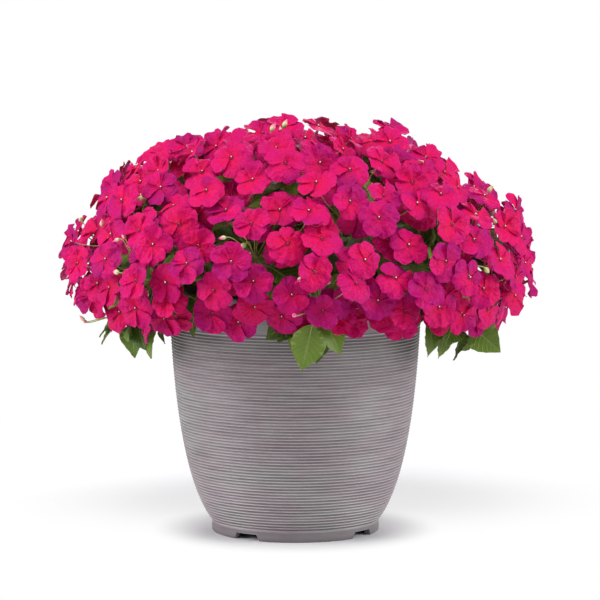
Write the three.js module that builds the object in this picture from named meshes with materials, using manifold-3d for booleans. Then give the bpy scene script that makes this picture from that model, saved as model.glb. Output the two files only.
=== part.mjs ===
// A busy lizzie in full flower, in the ribbed plastic pot that it grows in.
// Millimetres, +Z up. The origin is on the surface that the pot stands on, at the pot's axis, and
// the front of the plant looks along -Y.
//
// The plant is a mound. Leafy stems rise from the soil, lean over the rim and end in flower sprays,
// whose blooms lie on the mound's surface. Every place is set by a rule, and every draw comes from
// one fixed hash, so the plant grows the same each time.

import * as THREE from 'three'
import { mergeVertices } from 'three/addons/utils/BufferGeometryUtils.js'
import Module from 'manifold-3d'

const wasm = await Module()
wasm.setup()

const radians = THREE.MathUtils.degToRad

// ---- Driving dimensions, in millimetres and degrees ---------------------------------------------

// Pot: a moulded shell on a foot ring. Its belly is one curve from the foot to the band.
const POT_SIDES = 30
const POT_HEIGHT = 244
const RIM_RADIUS = 127
const RIM_ROUNDING = 1.2
const FOOT_RADIUS = 84
const FOOT_WIDTH = 6
const FOOT_SLOPE = 1
const BELLY_FOOT = new THREE.Vector2(84.2, 10)
const BELLY_BEND = new THREE.Vector2(118, 54)
const BELLY_TOP = new THREE.Vector2(125.8, 208)
const BAND_STEP = 2
const RIB_COUNT = 10
const RIB_DEPTH = 1.6
const WALL = 4
const WALL_STEPS = 3
const WALL_START = 0.03
const FLOOR_UNDERSIDE = 7.5
const FLOOR_TOP = 11.5
const FLOOR_CORNER = 4
const FOOT_GAP_ANGLES = [-127, -35.5, 53, 143.5]
const FOOT_GAP_WIDTH = 30
const FOOT_GAP_TAPER = 3
const FOOT_GAP_HEIGHT = 6.5
const DRAIN_COUNT = 4
const DRAIN_SIDES = 6
const DRAIN_RADIUS = 6
const DRAIN_CIRCLE = 48

// Soil: it fills the pot, a fitting gap clear of the wall.
const SOIL_LEVEL = 216
const FIT_GAP = 0.3

// Mound: the surface that the bloom centres lie on, an oblate dome with a shallower underside.
// A turn is the angle up from its widest ring, and its swells and dips are shares of its reach.
const MOUND_MIDDLE = 270
const MOUND_REACH = 230
const MOUND_RISE = 134
const MOUND_DROP = 80
const DROP_AT_SIDES = 0.14
const CROWN = { turn: 62, spread: 16, size: 0.03 }
const SWELLS = [
  { azimuth: 0, turn: 42, spread: 20, size: -0.08 },
  { azimuth: 0, turn: 12, spread: 22, size: 0.025 },
  { azimuth: 180, turn: 40, spread: 28, size: -0.07 },
  { azimuth: 180, turn: -2, spread: 24, size: 0.02 },
  { azimuth: 180, turn: -40, spread: 24, size: -0.05 },
  { azimuth: 60, turn: 15, spread: 30, size: 0.02 },
  { azimuth: 115, turn: 45, spread: 28, size: -0.05 },
]
const FACE_AT_RING = 15
const FACE_RISE = 5 / 6
const FACE_DROP = 1 / 2

// Stems: each rises from the soil, leans out and ends in a shoot under the mound's surface.
// A sway, a roll and a turn by way are in radians, and a spread is the share that a draw may add.
const SHOOT_COUNT = 28
const LOWEST_SHOOT = -30
const SHOOT_DEPTH = 56
const SHOOT_LIFT = 10
const SHOOT_SWAY = 0.12
const STEM_RADIUS = 3.4
const STEM_SIDES = 4
const STEM_STEPS = 4
const STEM_SUNK = 26
const STEM_LEAN = 0.52
const STEM_REACH_MAX = 104
const STEM_RISE_MAX = 90
const STEM_CLIMB = 0.6
const STEM_RUN = 42

// Flower sprays: a stalk that carries on from the stem's end, and slim flower stalks from it.
const BLOOM_COUNT = 264
const LOWEST_BLOOM = -38
const STALK_RADIUS = 3.2
const STALK_TIP_RADIUS = 2.6
const STALK_LENGTH = 24
const FLOWER_STALK_RADIUS = 0.6
const NECK_RADIUS = 1.1
const NECK_DEPTH = 3.6
const BLOOM_RADIUS = 20.5
const BLOOM_DISH = 0.8
const PETALS = 5
const PETAL_HALF_ANGLE = 24
const PETAL_RAISED = 2.4
const PETAL_TUCKED = 1.2
const PETAL_TUCKED_REACH = 0.94
const BLOOM_START = 0.4
const BLOOM_WANDER = 0.045
const BLOOM_LIFT = 9
const BLOOM_TILT = 0.5
const BLOOM_ROLL = 0.6
const BLOOM_SIZE_SPREAD = 0.07
const BLOOM_NOD = 0.35
const SHARPEST_NECK = 0.45
const BLOOM_WAYS = 24
const WANDER_BY_WAY = 0.04
const LIFT_BY_WAY = 0.7

// Where a flower stalk leaves the spray's stalk, as shares of that stalk's length: high up for a
// bloom right over it, and lower for one at its edge.
const ROOT_OVERHEAD = 0.95
const ROOT_FALL = 0.55
const ROOT_SPREAD = 0.25
const ROOT_LOWEST = 0.12
const ROOT_HIGHEST = 0.92

// Leaves: pointed and stalked, in a loose whorl round the last stretch of each stem.
const LEAVES_PER_SHOOT = 4
const LEAVES_PER_LOW_SHOOT = 6
const LEAF_LENGTH = 44
const LEAF_HALF_WIDTH = 14.5
const LEAF_STALK = 15
const LEAF_STALK_HALF_WIDTH = 1.2
const LEAF_STALK_CREST = 1.3
const LEAF_STALK_BASE = 0.9
const LEAF_RIB = 0.9
const LEAF_FOLD = 0.22
const LEAF_ARCH = 0.1
const LEAF_DROOP = 0.24
const LEAF_WAVE = 0.9
const LEAF_OUTLINE = [
  { share: 0.14, width: 0.66, wave: 1 },
  { share: 0.44, width: 1, wave: -1 },
  { share: 0.76, width: 0.6, wave: 1 },
]
const LEAF_MIDWAY = 0.45
const LEAF_SIZE_SPREAD = 0.14
const FIRST_LEAF = 0.97
const LEAF_SPACING = 0.05
const LEAF_PITCH = 56
const LEAF_PITCH_STEP = 3
const LEAF_PITCH_SPREAD = 14
const LEAF_SWAY = 0.5
const LEAF_ROLL = 0.35
const LEAF_UPWARD = 0.5
const LEAF_HANG = 0.4
const LEAF_WAYS = 14
const LEAF_TURN_BY_WAY = 0.35

const NODE_GAP = 0.35
const MERGE_WITHIN = 0.001
const GOLDEN_ANGLE = Math.PI * (3 - Math.sqrt(5))
const UP = new THREE.Vector3(0, 0, 1)

// ---- Solids -------------------------------------------------------------------------------------

// A closed solid from its corners and its triangles.
function solidOf(corners, triangles) {
  const mesh = new wasm.Mesh({
    numProp: 3,
    vertProperties: new Float32Array(corners.flatMap((corner) => corner.toArray())),
    triVerts: new Uint32Array(triangles.flat()),
  })
  return new wasm.Manifold(mesh)
}

// A closed solid from a three.js geometry, with its seams merged and its pinched triangles dropped.
function solidFrom(geometry) {
  geometry.deleteAttribute('normal')
  geometry.deleteAttribute('uv')
  const merged = mergeVertices(geometry, 1e-4)
  const points = merged.attributes.position
  const corners = []
  for (let i = 0; i < points.count; i++) {
    corners.push(new THREE.Vector3().fromBufferAttribute(points, i))
  }
  const triangles = []
  for (let i = 0; i < merged.index.count; i += 3) {
    const [a, b, c] = [merged.index.getX(i), merged.index.getX(i + 1), merged.index.getX(i + 2)]
    if (a !== b && b !== c && c !== a) {
      triangles.push([a, b, c])
    }
  }
  return solidOf(corners, triangles)
}

// The outer body of a fused solid: hollows that the fusing sealed are filled, scraps are dropped,
// and the corners that it left inside flat faces are merged away.
function outerBody(solid) {
  const bodies = solid.decompose()
  const outer = bodies.reduce((most, body) => (body.volume() > most.volume() ? body : most))
  return outer.asOriginal().simplify(MERGE_WITHIN)
}

// A named mesh from a solid, with its own origin at the given place.
function meshOf(name, solid, material, place) {
  const { vertProperties, triVerts } = solid.getMesh()
  const geometry = new THREE.BufferGeometry()
  geometry.setAttribute('position', new THREE.BufferAttribute(vertProperties, 3))
  geometry.setIndex(new THREE.BufferAttribute(triVerts, 1))
  geometry.translate(-place.x, -place.y, -place.z)
  const mesh = new THREE.Mesh(geometry, material)
  mesh.name = name
  mesh.position.copy(place)
  return mesh
}

// A tube along a curve, with a section of few sides.
function tubeAlong(curve, radius, sides, steps) {
  const corners = []
  for (let i = 0; i < sides; i++) {
    const angle = (2 * Math.PI * i) / sides
    corners.push(new THREE.Vector2(radius * Math.cos(angle), radius * Math.sin(angle)))
  }
  const section = new THREE.Shape(corners)
  return solidFrom(new THREE.ExtrudeGeometry(section, { extrudePath: curve, steps }))
}

// A profile of (radius, height) points turned round the pot's axis.
function turned(profile) {
  const lathe = new THREE.LatheGeometry(profile, POT_SIDES)
  lathe.rotateX(Math.PI / 2)
  return solidFrom(lathe)
}

// ---- Pot and soil -------------------------------------------------------------------------------

const belly = new THREE.QuadraticBezierCurve(BELLY_FOOT, BELLY_BEND, BELLY_TOP)

// The inside of the wall from the floor up to a height, drawn in by a gap where soil fits in it.
function insideWall(gap, top) {
  const points = []
  for (let i = 0; i <= WALL_STEPS; i++) {
    const point = belly.getPoint(THREE.MathUtils.lerp(WALL_START, 1, i / WALL_STEPS))
    points.push(new THREE.Vector2(point.x - WALL - gap, point.y))
  }
  const share = (top - BELLY_TOP.y) / (POT_HEIGHT - BELLY_TOP.y)
  const outside = THREE.MathUtils.lerp(BELLY_TOP.x, RIM_RADIUS, share)
  points.push(new THREE.Vector2(outside - WALL - gap, top))
  return points
}

function potShell() {
  const ribs = []
  for (let i = 0; i <= 2 * RIB_COUNT; i++) {
    const point = belly.getPoint(i / (2 * RIB_COUNT))
    const groove = i % 2 === 0 ? RIB_DEPTH : 0
    ribs.push(new THREE.Vector2(point.x - groove, point.y))
  }
  const inside = insideWall(0, POT_HEIGHT)
  return turned([
    new THREE.Vector2(0, FLOOR_UNDERSIDE),
    new THREE.Vector2(FOOT_RADIUS - FOOT_WIDTH - FOOT_SLOPE, FLOOR_UNDERSIDE),
    new THREE.Vector2(FOOT_RADIUS - FOOT_WIDTH, 0),
    new THREE.Vector2(FOOT_RADIUS, 0),
    new THREE.Vector2(BELLY_FOOT.x, BELLY_FOOT.y - FOOT_SLOPE),
    ...ribs,
    new THREE.Vector2(BELLY_TOP.x, BELLY_TOP.y + BAND_STEP),
    new THREE.Vector2(RIM_RADIUS, POT_HEIGHT - 3 * RIM_ROUNDING),
    new THREE.Vector2(RIM_RADIUS - RIM_ROUNDING, POT_HEIGHT),
    ...inside.toReversed(),
    new THREE.Vector2(inside[0].x - FLOOR_CORNER, FLOOR_TOP),
    new THREE.Vector2(0, FLOOR_TOP),
  ])
}

// A gap under the foot ring, wider at the surface that the pot stands on.
function footGap(angle) {
  const half = FOOT_GAP_WIDTH / 2
  const outline = new THREE.Shape([
    new THREE.Vector2(-half, -1),
    new THREE.Vector2(half, -1),
    new THREE.Vector2(half - FOOT_GAP_TAPER, FOOT_GAP_HEIGHT),
    new THREE.Vector2(FOOT_GAP_TAPER - half, FOOT_GAP_HEIGHT),
  ])
  const gap = new THREE.ExtrudeGeometry(outline, { depth: 4 * FOOT_WIDTH, bevelEnabled: false })
  gap.rotateX(Math.PI / 2)
  gap.translate(0, 2 * FOOT_WIDTH - FOOT_RADIUS, 0)
  gap.rotateZ(radians(angle))
  return solidFrom(gap)
}

function drainHole(angle) {
  const hole = new THREE.CylinderGeometry(DRAIN_RADIUS, DRAIN_RADIUS, 2 * FLOOR_TOP, DRAIN_SIDES)
  hole.rotateX(Math.PI / 2)
  hole.translate(DRAIN_CIRCLE, 0, FLOOR_TOP)
  hole.rotateZ(angle)
  return solidFrom(hole)
}

function potSolid() {
  let pot = potShell()
  for (const angle of FOOT_GAP_ANGLES) {
    pot = pot.subtract(footGap(angle))
  }
  for (let i = 0; i < DRAIN_COUNT; i++) {
    pot = pot.subtract(drainHole((2 * Math.PI * (i + 0.5)) / DRAIN_COUNT))
  }
  return pot
}

// The soil, with a plain hole for each stem that keeps the fitting gap all round it.
function soilSolid(stems) {
  const inside = insideWall(FIT_GAP, SOIL_LEVEL)
  let soil = turned([
    new THREE.Vector2(0, FLOOR_TOP + FIT_GAP),
    new THREE.Vector2(inside[0].x - FLOOR_CORNER, FLOOR_TOP + FIT_GAP),
    ...inside,
    new THREE.Vector2(0, SOIL_LEVEL),
  ])
  const holeRadius = (STEM_RADIUS + FIT_GAP) / Math.cos(Math.PI / STEM_SIDES)
  for (const stem of stems) {
    const [foot, next] = stem.curve.getSpacedPoints(STEM_STEPS)
    const along = next.clone().sub(foot).normalize()
    const bottom = foot.clone().addScaledVector(along, -1.5 * FIT_GAP)
    const top = foot.clone().addScaledVector(along, 2 * STEM_SUNK)
    soil = soil.subtract(tubeAlong(new THREE.LineCurve3(bottom, top), holeRadius, STEM_SIDES, 1))
  }
  return soil
}

// ---- Placing by rule ----------------------------------------------------------------------------

const SHOOT = 0
const BLOOM = 1
const LEAF = 2

// A fixed draw between -1 and 1 for whatever the four whole numbers name.
function draw(kind, item, way, purpose) {
  let hash = Math.imul(kind + 1, 0x9e3779b1) ^ Math.imul(item + 1, 0x85ebca6b)
  hash ^= Math.imul(way + 1, 0xc2b2ae35) ^ Math.imul(purpose + 1, 0x27d4eb2f)
  hash = Math.imul(hash ^ (hash >>> 15), 0x2c1b3c6d)
  hash = Math.imul(hash ^ (hash >>> 12), 0x297a2d39)
  hash ^= hash >>> 15
  return (hash >>> 0) / 2 ** 31 - 1
}

function direction(azimuth, elevation) {
  const level = Math.cos(elevation)
  return new THREE.Vector3(level * Math.cos(azimuth), level * Math.sin(azimuth), Math.sin(elevation))
}

function bump(away, size) {
  return size * Math.exp(-away * away)
}

// How far the mound reaches in one direction, as a share of its plain reach.
function swell(azimuth, turn) {
  const toward = direction(azimuth, turn)
  let share = 1 + bump((turn - radians(CROWN.turn)) / radians(CROWN.spread), CROWN.size)
  for (const lump of SWELLS) {
    const centre = direction(radians(lump.azimuth), radians(lump.turn))
    share += bump(toward.angleTo(centre) / radians(lump.spread), lump.size)
  }
  return share
}

function moundRise(azimuth, turn) {
  return turn > 0 ? MOUND_RISE : MOUND_DROP * (1 + DROP_AT_SIDES * Math.cos(2 * azimuth))
}

function moundPoint(azimuth, turn) {
  const share = swell(azimuth, turn)
  const reach = MOUND_REACH * share * Math.cos(turn)
  const height = MOUND_MIDDLE + moundRise(azimuth, turn) * share * Math.sin(turn)
  return new THREE.Vector3(reach * Math.cos(azimuth), reach * Math.sin(azimuth), height)
}

// The way a bloom looks from a point of the mound: up at the top, outward and a little up below.
function facing(azimuth, turn) {
  const slope = turn > 0 ? FACE_RISE : FACE_DROP
  return direction(azimuth, radians(FACE_AT_RING) + slope * turn)
}

// Turns that share the mound evenly between places, from its top down to the lowest turn.
function evenTurns(count, lowest) {
  const steps = 256
  const top = Math.PI / 2
  const areas = [0]
  for (let i = 1; i <= steps; i++) {
    const turn = THREE.MathUtils.lerp(top, lowest, (i - 0.5) / steps)
    const rise = turn > 0 ? MOUND_RISE : MOUND_DROP
    const slope = Math.hypot(MOUND_REACH * Math.sin(turn), rise * Math.cos(turn))
    areas.push(areas[i - 1] + Math.cos(turn) * slope)
  }
  const turns = []
  let step = 1
  for (let place = 0; place < count; place++) {
    const wanted = (areas[steps] * (place + 0.5)) / count
    while (areas[step] < wanted) {
      step += 1
    }
    const part = (wanted - areas[step - 1]) / (areas[step] - areas[step - 1])
    turns.push(THREE.MathUtils.lerp(top, lowest, (step - 1 + part) / steps))
  }
  return turns
}

// ---- Stems --------------------------------------------------------------------------------------

// Where each stem runs: from its foot in the soil to its tip under the mound's surface.
function stemPlaces() {
  return evenTurns(SHOOT_COUNT, radians(LOWEST_SHOOT)).map((turn, shoot) => {
    const azimuth = shoot * GOLDEN_ANGLE + SHOOT_SWAY * draw(SHOOT, shoot, 0, 0)
    const lift = SHOOT_LIFT * draw(SHOOT, shoot, 0, 1)
    const surface = moundPoint(azimuth, turn)
    const outward = facing(azimuth, turn)
    const tip = surface.clone().addScaledVector(outward, lift - SHOOT_DEPTH)
    const end = direction(azimuth, turn > 0 ? turn : (turn * 5) / 3)
    const footReach = Math.min(STEM_LEAN * Math.hypot(tip.x, tip.y), STEM_REACH_MAX)
    const foot = direction(azimuth, 0).multiplyScalar(footReach)
    foot.z = SOIL_LEVEL - STEM_SUNK
    const climb = Math.min(STEM_RISE_MAX, STEM_CLIMB * (tip.z - foot.z) + 2 * STEM_SUNK)
    const bend = foot.clone().addScaledVector(UP, climb)
    const run = tip.clone().addScaledVector(end, -STEM_RUN)
    const curve = new THREE.CubicBezierCurve3(foot, bend, run, tip)
    return { turn, lift, surface, outward, tip, end, curve }
  })
}

// The stalk of a flower spray: it carries on from the stem's end, a fitting gap beyond it.
function stalkSolid(stem) {
  const stalk = new THREE.CylinderGeometry(STALK_TIP_RADIUS, STALK_RADIUS, STALK_LENGTH, STEM_SIDES)
  stalk.translate(0, STALK_LENGTH / 2 + FIT_GAP, 0)
  const turn = new THREE.Quaternion().setFromUnitVectors(new THREE.Vector3(0, 1, 0), stem.end)
  stalk.applyQuaternion(turn)
  stalk.translate(stem.tip.x, stem.tip.y, stem.tip.z)
  return solidFrom(stalk)
}

// ---- Blooms -------------------------------------------------------------------------------------

function nearestStem(stems, spot) {
  const distances = stems.map((stem) => stem.surface.distanceTo(spot))
  return distances.indexOf(Math.min(...distances))
}

// Where a bloom stands in one of its ways: its centre, the way it looks, and its root in the stalk.
function bloomPlace(stems, bloom, turn, way) {
  const azimuth = bloom * GOLDEN_ANGLE + BLOOM_START
  const spot = moundPoint(azimuth, turn)
  const spray = nearestStem(stems, spot)
  const stem = stems[spray]

  const wander = BLOOM_WANDER * (1 + WANDER_BY_WAY * way)
  const sway = (wander * draw(BLOOM, bloom, way, 0)) / Math.max(0.3, Math.cos(turn))
  const dip = wander * draw(BLOOM, bloom, way, 1)
  const shift = LIFT_BY_WAY * way * draw(BLOOM, bloom, way, 3)
  const lift = stem.lift + BLOOM_LIFT * draw(BLOOM, bloom, 0, 2) + shift
  const look = facing(azimuth + sway, turn + dip)
  const centre = moundPoint(azimuth + sway, turn + dip).addScaledVector(look, lift)

  const away = Math.min(spot.distanceTo(stem.surface) / SHOOT_DEPTH, 1)
  const share = ROOT_OVERHEAD - ROOT_FALL * away + ROOT_SPREAD * draw(BLOOM, bloom, way, 4)
  const height = FIT_GAP + STALK_LENGTH * THREE.MathUtils.clamp(share, ROOT_LOWEST, ROOT_HIGHEST)
  const root = stem.tip.clone().addScaledVector(stem.end, height)
  const along = root.clone().sub(centre).normalize()

  const tilt = new THREE.Vector3(5, 6, 7)
  tilt.fromArray(tilt.toArray().map((purpose) => BLOOM_TILT * draw(BLOOM, bloom, way, purpose)))
  look.addScaledVector(along, -BLOOM_NOD).add(tilt).normalize()
  const across = new THREE.Vector3().crossVectors(UP, look)
  if (across.lengthSq() < 0.01) {
    across.set(1, 0, 0)
  }
  across.normalize().applyAxisAngle(look, BLOOM_ROLL * draw(BLOOM, bloom, 0, 9))
  const upright = new THREE.Vector3().crossVectors(look, across)
  const radius = BLOOM_RADIUS * (1 + BLOOM_SIZE_SPREAD * draw(BLOOM, bloom, 0, 8))
  return { spray, centre, look, across, upright, root, along, radius }
}

// Five petals fanned round the centre, each with one edge raised and one tucked under the next.
// Behind them the neck tapers into the flower stalk, which ends at its root or short of it.
function bloomSolid(place, shortBy = 0) {
  const at = (radius, angle, height) => place.centre.clone()
    .addScaledVector(place.across, radius * Math.sin(angle))
    .addScaledVector(place.upright, radius * Math.cos(angle))
    .addScaledVector(place.look, height)
  const corners = [at(0, 0, -BLOOM_DISH)]
  const half = radians(PETAL_HALF_ANGLE)
  for (let petal = 0; petal < PETALS; petal++) {
    const middle = (2 * Math.PI * petal) / PETALS
    corners.push(at(place.radius, middle - half, PETAL_RAISED))
    corners.push(at(PETAL_TUCKED_REACH * place.radius, middle + half, -PETAL_TUCKED))
  }
  const rim = 2 * PETALS

  const toward = at(1, Math.PI / 3, 0).sub(place.centre)
  const first = toward.addScaledVector(place.along, -toward.dot(place.along)).normalize()
  const second = new THREE.Vector3().crossVectors(place.along, first)
  const addRing = (middle, radius) => {
    for (let i = 0; i < 3; i++) {
      const angle = (2 * Math.PI * i) / 3
      corners.push(middle.clone()
        .addScaledVector(first, radius * Math.cos(angle))
        .addScaledVector(second, radius * Math.sin(angle)))
    }
  }
  addRing(at(0, 0, -NECK_DEPTH), NECK_RADIUS)
  addRing(place.root.clone().addScaledVector(place.along, -shortBy), FLOWER_STALK_RADIUS)

  const rimAt = (i) => 1 + (i % rim)
  const neckAt = (i) => 1 + rim + (i % 3)
  const rootAt = (i) => 4 + rim + (i % 3)
  const triangles = [[rootAt(0), rootAt(1), rootAt(2)]]
  for (let i = 0; i < rim; i++) {
    const side = Math.floor((3 * i) / rim)
    const nextSide = Math.floor((3 * (i + 1)) / rim)
    triangles.push([0, rimAt(i + 1), rimAt(i)])
    triangles.push([rimAt(i), rimAt(i + 1), neckAt(side)])
    if (nextSide > side) {
      triangles.push([neckAt(side), rimAt(i + 1), neckAt(nextSide)])
    }
  }
  for (let i = 0; i < 3; i++) {
    triangles.push([neckAt(i), neckAt(i + 1), rootAt(i)])
    triangles.push([neckAt(i + 1), rootAt(i + 1), rootAt(i)])
  }
  return solidOf(corners, triangles)
}

// ---- Leaves -------------------------------------------------------------------------------------

// Where a leaf stands in one of its ways: its root in the stem, the way it runs and its upper side.
function leafPlace(stem, item, leaf, way) {
  const place = FIRST_LEAF - LEAF_SPACING * leaf
  const root = stem.curve.getPointAt(place)
  const axis = stem.curve.getTangentAt(place)
  const side = new THREE.Vector3().crossVectors(axis, UP)
  if (side.lengthSq() < 0.01) {
    side.set(1, 0, 0)
  }
  const around = leaf * GOLDEN_ANGLE + LEAF_SWAY * draw(LEAF, item, way, 0) + LEAF_TURN_BY_WAY * way
  side.normalize().applyAxisAngle(axis, around)
  const pitch = radians(LEAF_PITCH + LEAF_PITCH_STEP * leaf + LEAF_PITCH_SPREAD * draw(LEAF, item, way, 1))
  const run = axis.multiplyScalar(Math.cos(pitch)).addScaledVector(side, Math.sin(pitch))
  if (stem.turn < 0) {
    run.addScaledVector(UP, -LEAF_HANG).normalize()
  }
  const top = stem.outward.clone().addScaledVector(UP, LEAF_UPWARD)
  top.addScaledVector(run, -top.dot(run)).normalize()
  top.applyAxisAngle(run, LEAF_ROLL * draw(LEAF, item, way, 2))
  const across = new THREE.Vector3().crossVectors(top, run)
  const size = 1 + LEAF_SIZE_SPREAD * draw(LEAF, item, 0, 3)
  return { root, run, top, across, size }
}

// A pointed leaf on its stalk: folded a little along its rib, arched, with a waved edge.
// Its stalk starts at its root or short of it.
function leafSolid(place, shortBy = 0) {
  const length = LEAF_LENGTH * place.size
  const halfWidth = LEAF_HALF_WIDTH * place.size
  const at = (along, aside, height) => place.root.clone()
    .addScaledVector(place.run, along)
    .addScaledVector(place.across, aside)
    .addScaledVector(place.top, height)
  const arch = (share) => length * share * (LEAF_ARCH - LEAF_DROOP * share)
  const section = (along) => [
    at(along, 0, LEAF_STALK_CREST),
    at(along, LEAF_STALK_HALF_WIDTH, -LEAF_STALK_BASE),
    at(along, -LEAF_STALK_HALF_WIDTH, -LEAF_STALK_BASE),
  ]
  const edge = (side) => LEAF_OUTLINE.map(({ share, width, wave }) => at(
    LEAF_STALK + share * length,
    side * width * halfWidth,
    arch(share) + LEAF_FOLD * width * halfWidth + LEAF_WAVE * side * wave,
  ))
  const corners = [
    ...section(shortBy),
    ...section(LEAF_STALK),
    at(LEAF_STALK + LEAF_MIDWAY * length, 0, arch(LEAF_MIDWAY) + LEAF_RIB),
    at(LEAF_STALK + LEAF_MIDWAY * length, 0, arch(LEAF_MIDWAY) - LEAF_RIB),
    at(LEAF_STALK + length, 0, arch(1)),
    ...edge(1),
    ...edge(-1),
  ]
  const stalk = [[0, 1, 2], [0, 4, 1], [0, 3, 4], [0, 5, 3], [0, 2, 5], [1, 5, 2], [1, 4, 5]]
  const upper = [[3, 9, 4], [3, 6, 9], [6, 10, 9], [6, 11, 10], [6, 8, 11]]
  const upperOther = [[3, 5, 12], [3, 12, 6], [6, 12, 13], [6, 13, 14], [6, 14, 8]]
  const under = [[4, 9, 7], [7, 9, 10], [7, 10, 11], [7, 11, 8], [4, 7, 5]]
  const underOther = [[5, 7, 12], [7, 13, 12], [7, 14, 13], [7, 8, 14]]
  return solidOf(corners, [...stalk, ...upper, ...upperOther, ...under, ...underOther])
}

// ---- Growing the plant --------------------------------------------------------------------------

// What stands already. Each piece belongs to a node, and its free part, clear of its own root, is
// what its neighbours in the same node keep away from.
const standing = []

function stand(node, solid, freePart = solid) {
  standing.push({ node, solid, freePart, box: solid.boundingBox() })
}

function boxesNear(a, b) {
  return [0, 1, 2].every((i) => a.min[i] < b.max[i] + NODE_GAP && b.min[i] < a.max[i] + NODE_GAP)
}

// Whether a new piece keeps its gap to all that stands in other nodes.
function clearsOthers(node, solid) {
  const box = solid.boundingBox()
  return standing.every((other) => other.node === node || !boxesNear(box, other.box)
    || solid.minGap(other.solid, 2 * NODE_GAP) >= NODE_GAP)
}

// Whether its free part also keeps its gap to the free parts in its own node.
function clearsOwn(node, freePart) {
  return standing.every((other) => other.node !== node || other.freePart === null
    || freePart.minGap(other.freePart, 2 * NODE_GAP) >= NODE_GAP)
}

const stems = stemPlaces()
const greens = stems.map((stem) => tubeAlong(stem.curve, STEM_RADIUS, STEM_SIDES, STEM_STEPS))
const sprays = stems.map((stem) => stalkSolid(stem))
const pot = potSolid()
const soil = soilSolid(stems)
stand('planter', pot)
stand('soil', soil)
greens.forEach((solid, i) => stand(`green ${i}`, solid, null))
sprays.forEach((solid, i) => stand(`spray ${i}`, solid, null))

// A bloom takes the first of its ways that crosses nothing, or else the first that crosses only
// its own spray, which it is fused with.
function growBloom(bloom, turn) {
  for (const crossingOwn of [false, true]) {
    for (let way = 0; way < BLOOM_WAYS; way++) {
      const place = bloomPlace(stems, bloom, turn, way)
      const node = `spray ${place.spray}`
      const solid = bloomSolid(place)
      const freePart = bloomSolid(place, STALK_RADIUS + 1)
      const bendsWell = -place.look.dot(place.along) > SHARPEST_NECK
      if (bendsWell && clearsOthers(node, solid) && (crossingOwn || clearsOwn(node, freePart))) {
        sprays[place.spray] = sprays[place.spray].add(solid)
        stand(node, solid, freePart)
        return
      }
    }
  }
}

// A leaf takes the first of its ways that crosses nothing, and is left out where it has none.
function growLeaf(shoot, leaf) {
  const node = `green ${shoot}`
  for (let way = 0; way < LEAF_WAYS; way++) {
    const place = leafPlace(stems[shoot], shoot * LEAVES_PER_LOW_SHOOT + leaf, leaf, way)
    const solid = leafSolid(place)
    const freePart = leafSolid(place, 0.6 * LEAF_STALK)
    if (clearsOthers(node, solid) && clearsOwn(node, freePart)) {
      greens[shoot] = greens[shoot].add(solid)
      stand(node, solid, freePart)
      return
    }
  }
}

evenTurns(BLOOM_COUNT, radians(LOWEST_BLOOM)).forEach((turn, bloom) => growBloom(bloom, turn))
stems.forEach((stem, shoot) => {
  const leaves = stem.turn < 0 ? LEAVES_PER_LOW_SHOOT : LEAVES_PER_SHOOT
  for (let leaf = 0; leaf < leaves; leaf++) {
    growLeaf(shoot, leaf)
  }
})

// ---- The potted plant ---------------------------------------------------------------------------

const mouldedPlastic = new THREE.MeshStandardMaterial({ color: '#8b8286', roughness: 0.7 })
const pottingMix = new THREE.MeshStandardMaterial({ color: '#3b2a20', roughness: 0.95 })
const leafGreen = new THREE.MeshStandardMaterial({ color: '#4a7a30', roughness: 0.5 })
const petalMagenta = new THREE.MeshStandardMaterial({ color: '#d5196b', roughness: 0.6 })
for (const material of [mouldedPlastic, pottingMix, leafGreen, petalMagenta]) {
  material.metalness = 0
}

const base = new THREE.Vector3()
const pottedPlant = new THREE.Group()
pottedPlant.add(meshOf('planter', pot, mouldedPlastic, base))
pottedPlant.add(meshOf('soil', soil, pottingMix, base))
stems.forEach((stem, i) => {
  const number = String(i + 1).padStart(2, '0')
  const shoot = new THREE.Group()
  shoot.add(meshOf(`leafy_stem_${number}`, outerBody(greens[i]), leafGreen, stem.tip))
  shoot.add(meshOf(`flower_spray_${number}`, outerBody(sprays[i]), petalMagenta, stem.tip))
  pottedPlant.add(shoot)
})

export default pottedPlant
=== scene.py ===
import math

import bmesh
import bpy
import numpy as np
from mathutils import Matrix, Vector, kdtree, noise
from mathutils.bvhtree import BVHTree


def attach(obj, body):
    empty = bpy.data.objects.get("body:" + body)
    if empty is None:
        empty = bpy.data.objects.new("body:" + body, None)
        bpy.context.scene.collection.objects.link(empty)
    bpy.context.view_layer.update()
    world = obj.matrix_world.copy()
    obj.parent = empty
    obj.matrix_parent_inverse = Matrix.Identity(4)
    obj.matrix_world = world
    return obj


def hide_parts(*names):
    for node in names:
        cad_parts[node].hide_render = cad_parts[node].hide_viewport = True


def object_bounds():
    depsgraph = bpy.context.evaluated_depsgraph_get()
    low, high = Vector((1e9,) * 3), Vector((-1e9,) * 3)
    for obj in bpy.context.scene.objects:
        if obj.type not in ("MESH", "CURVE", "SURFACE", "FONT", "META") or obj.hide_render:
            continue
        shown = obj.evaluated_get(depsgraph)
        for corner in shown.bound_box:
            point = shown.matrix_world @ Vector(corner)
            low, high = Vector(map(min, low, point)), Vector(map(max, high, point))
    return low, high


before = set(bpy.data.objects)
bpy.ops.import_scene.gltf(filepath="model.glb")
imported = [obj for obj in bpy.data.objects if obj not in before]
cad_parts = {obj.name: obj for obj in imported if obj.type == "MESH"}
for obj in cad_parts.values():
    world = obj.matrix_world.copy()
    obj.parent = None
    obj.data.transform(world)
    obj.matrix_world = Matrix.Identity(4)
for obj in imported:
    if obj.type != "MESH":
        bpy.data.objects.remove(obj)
cad_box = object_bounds()


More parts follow.
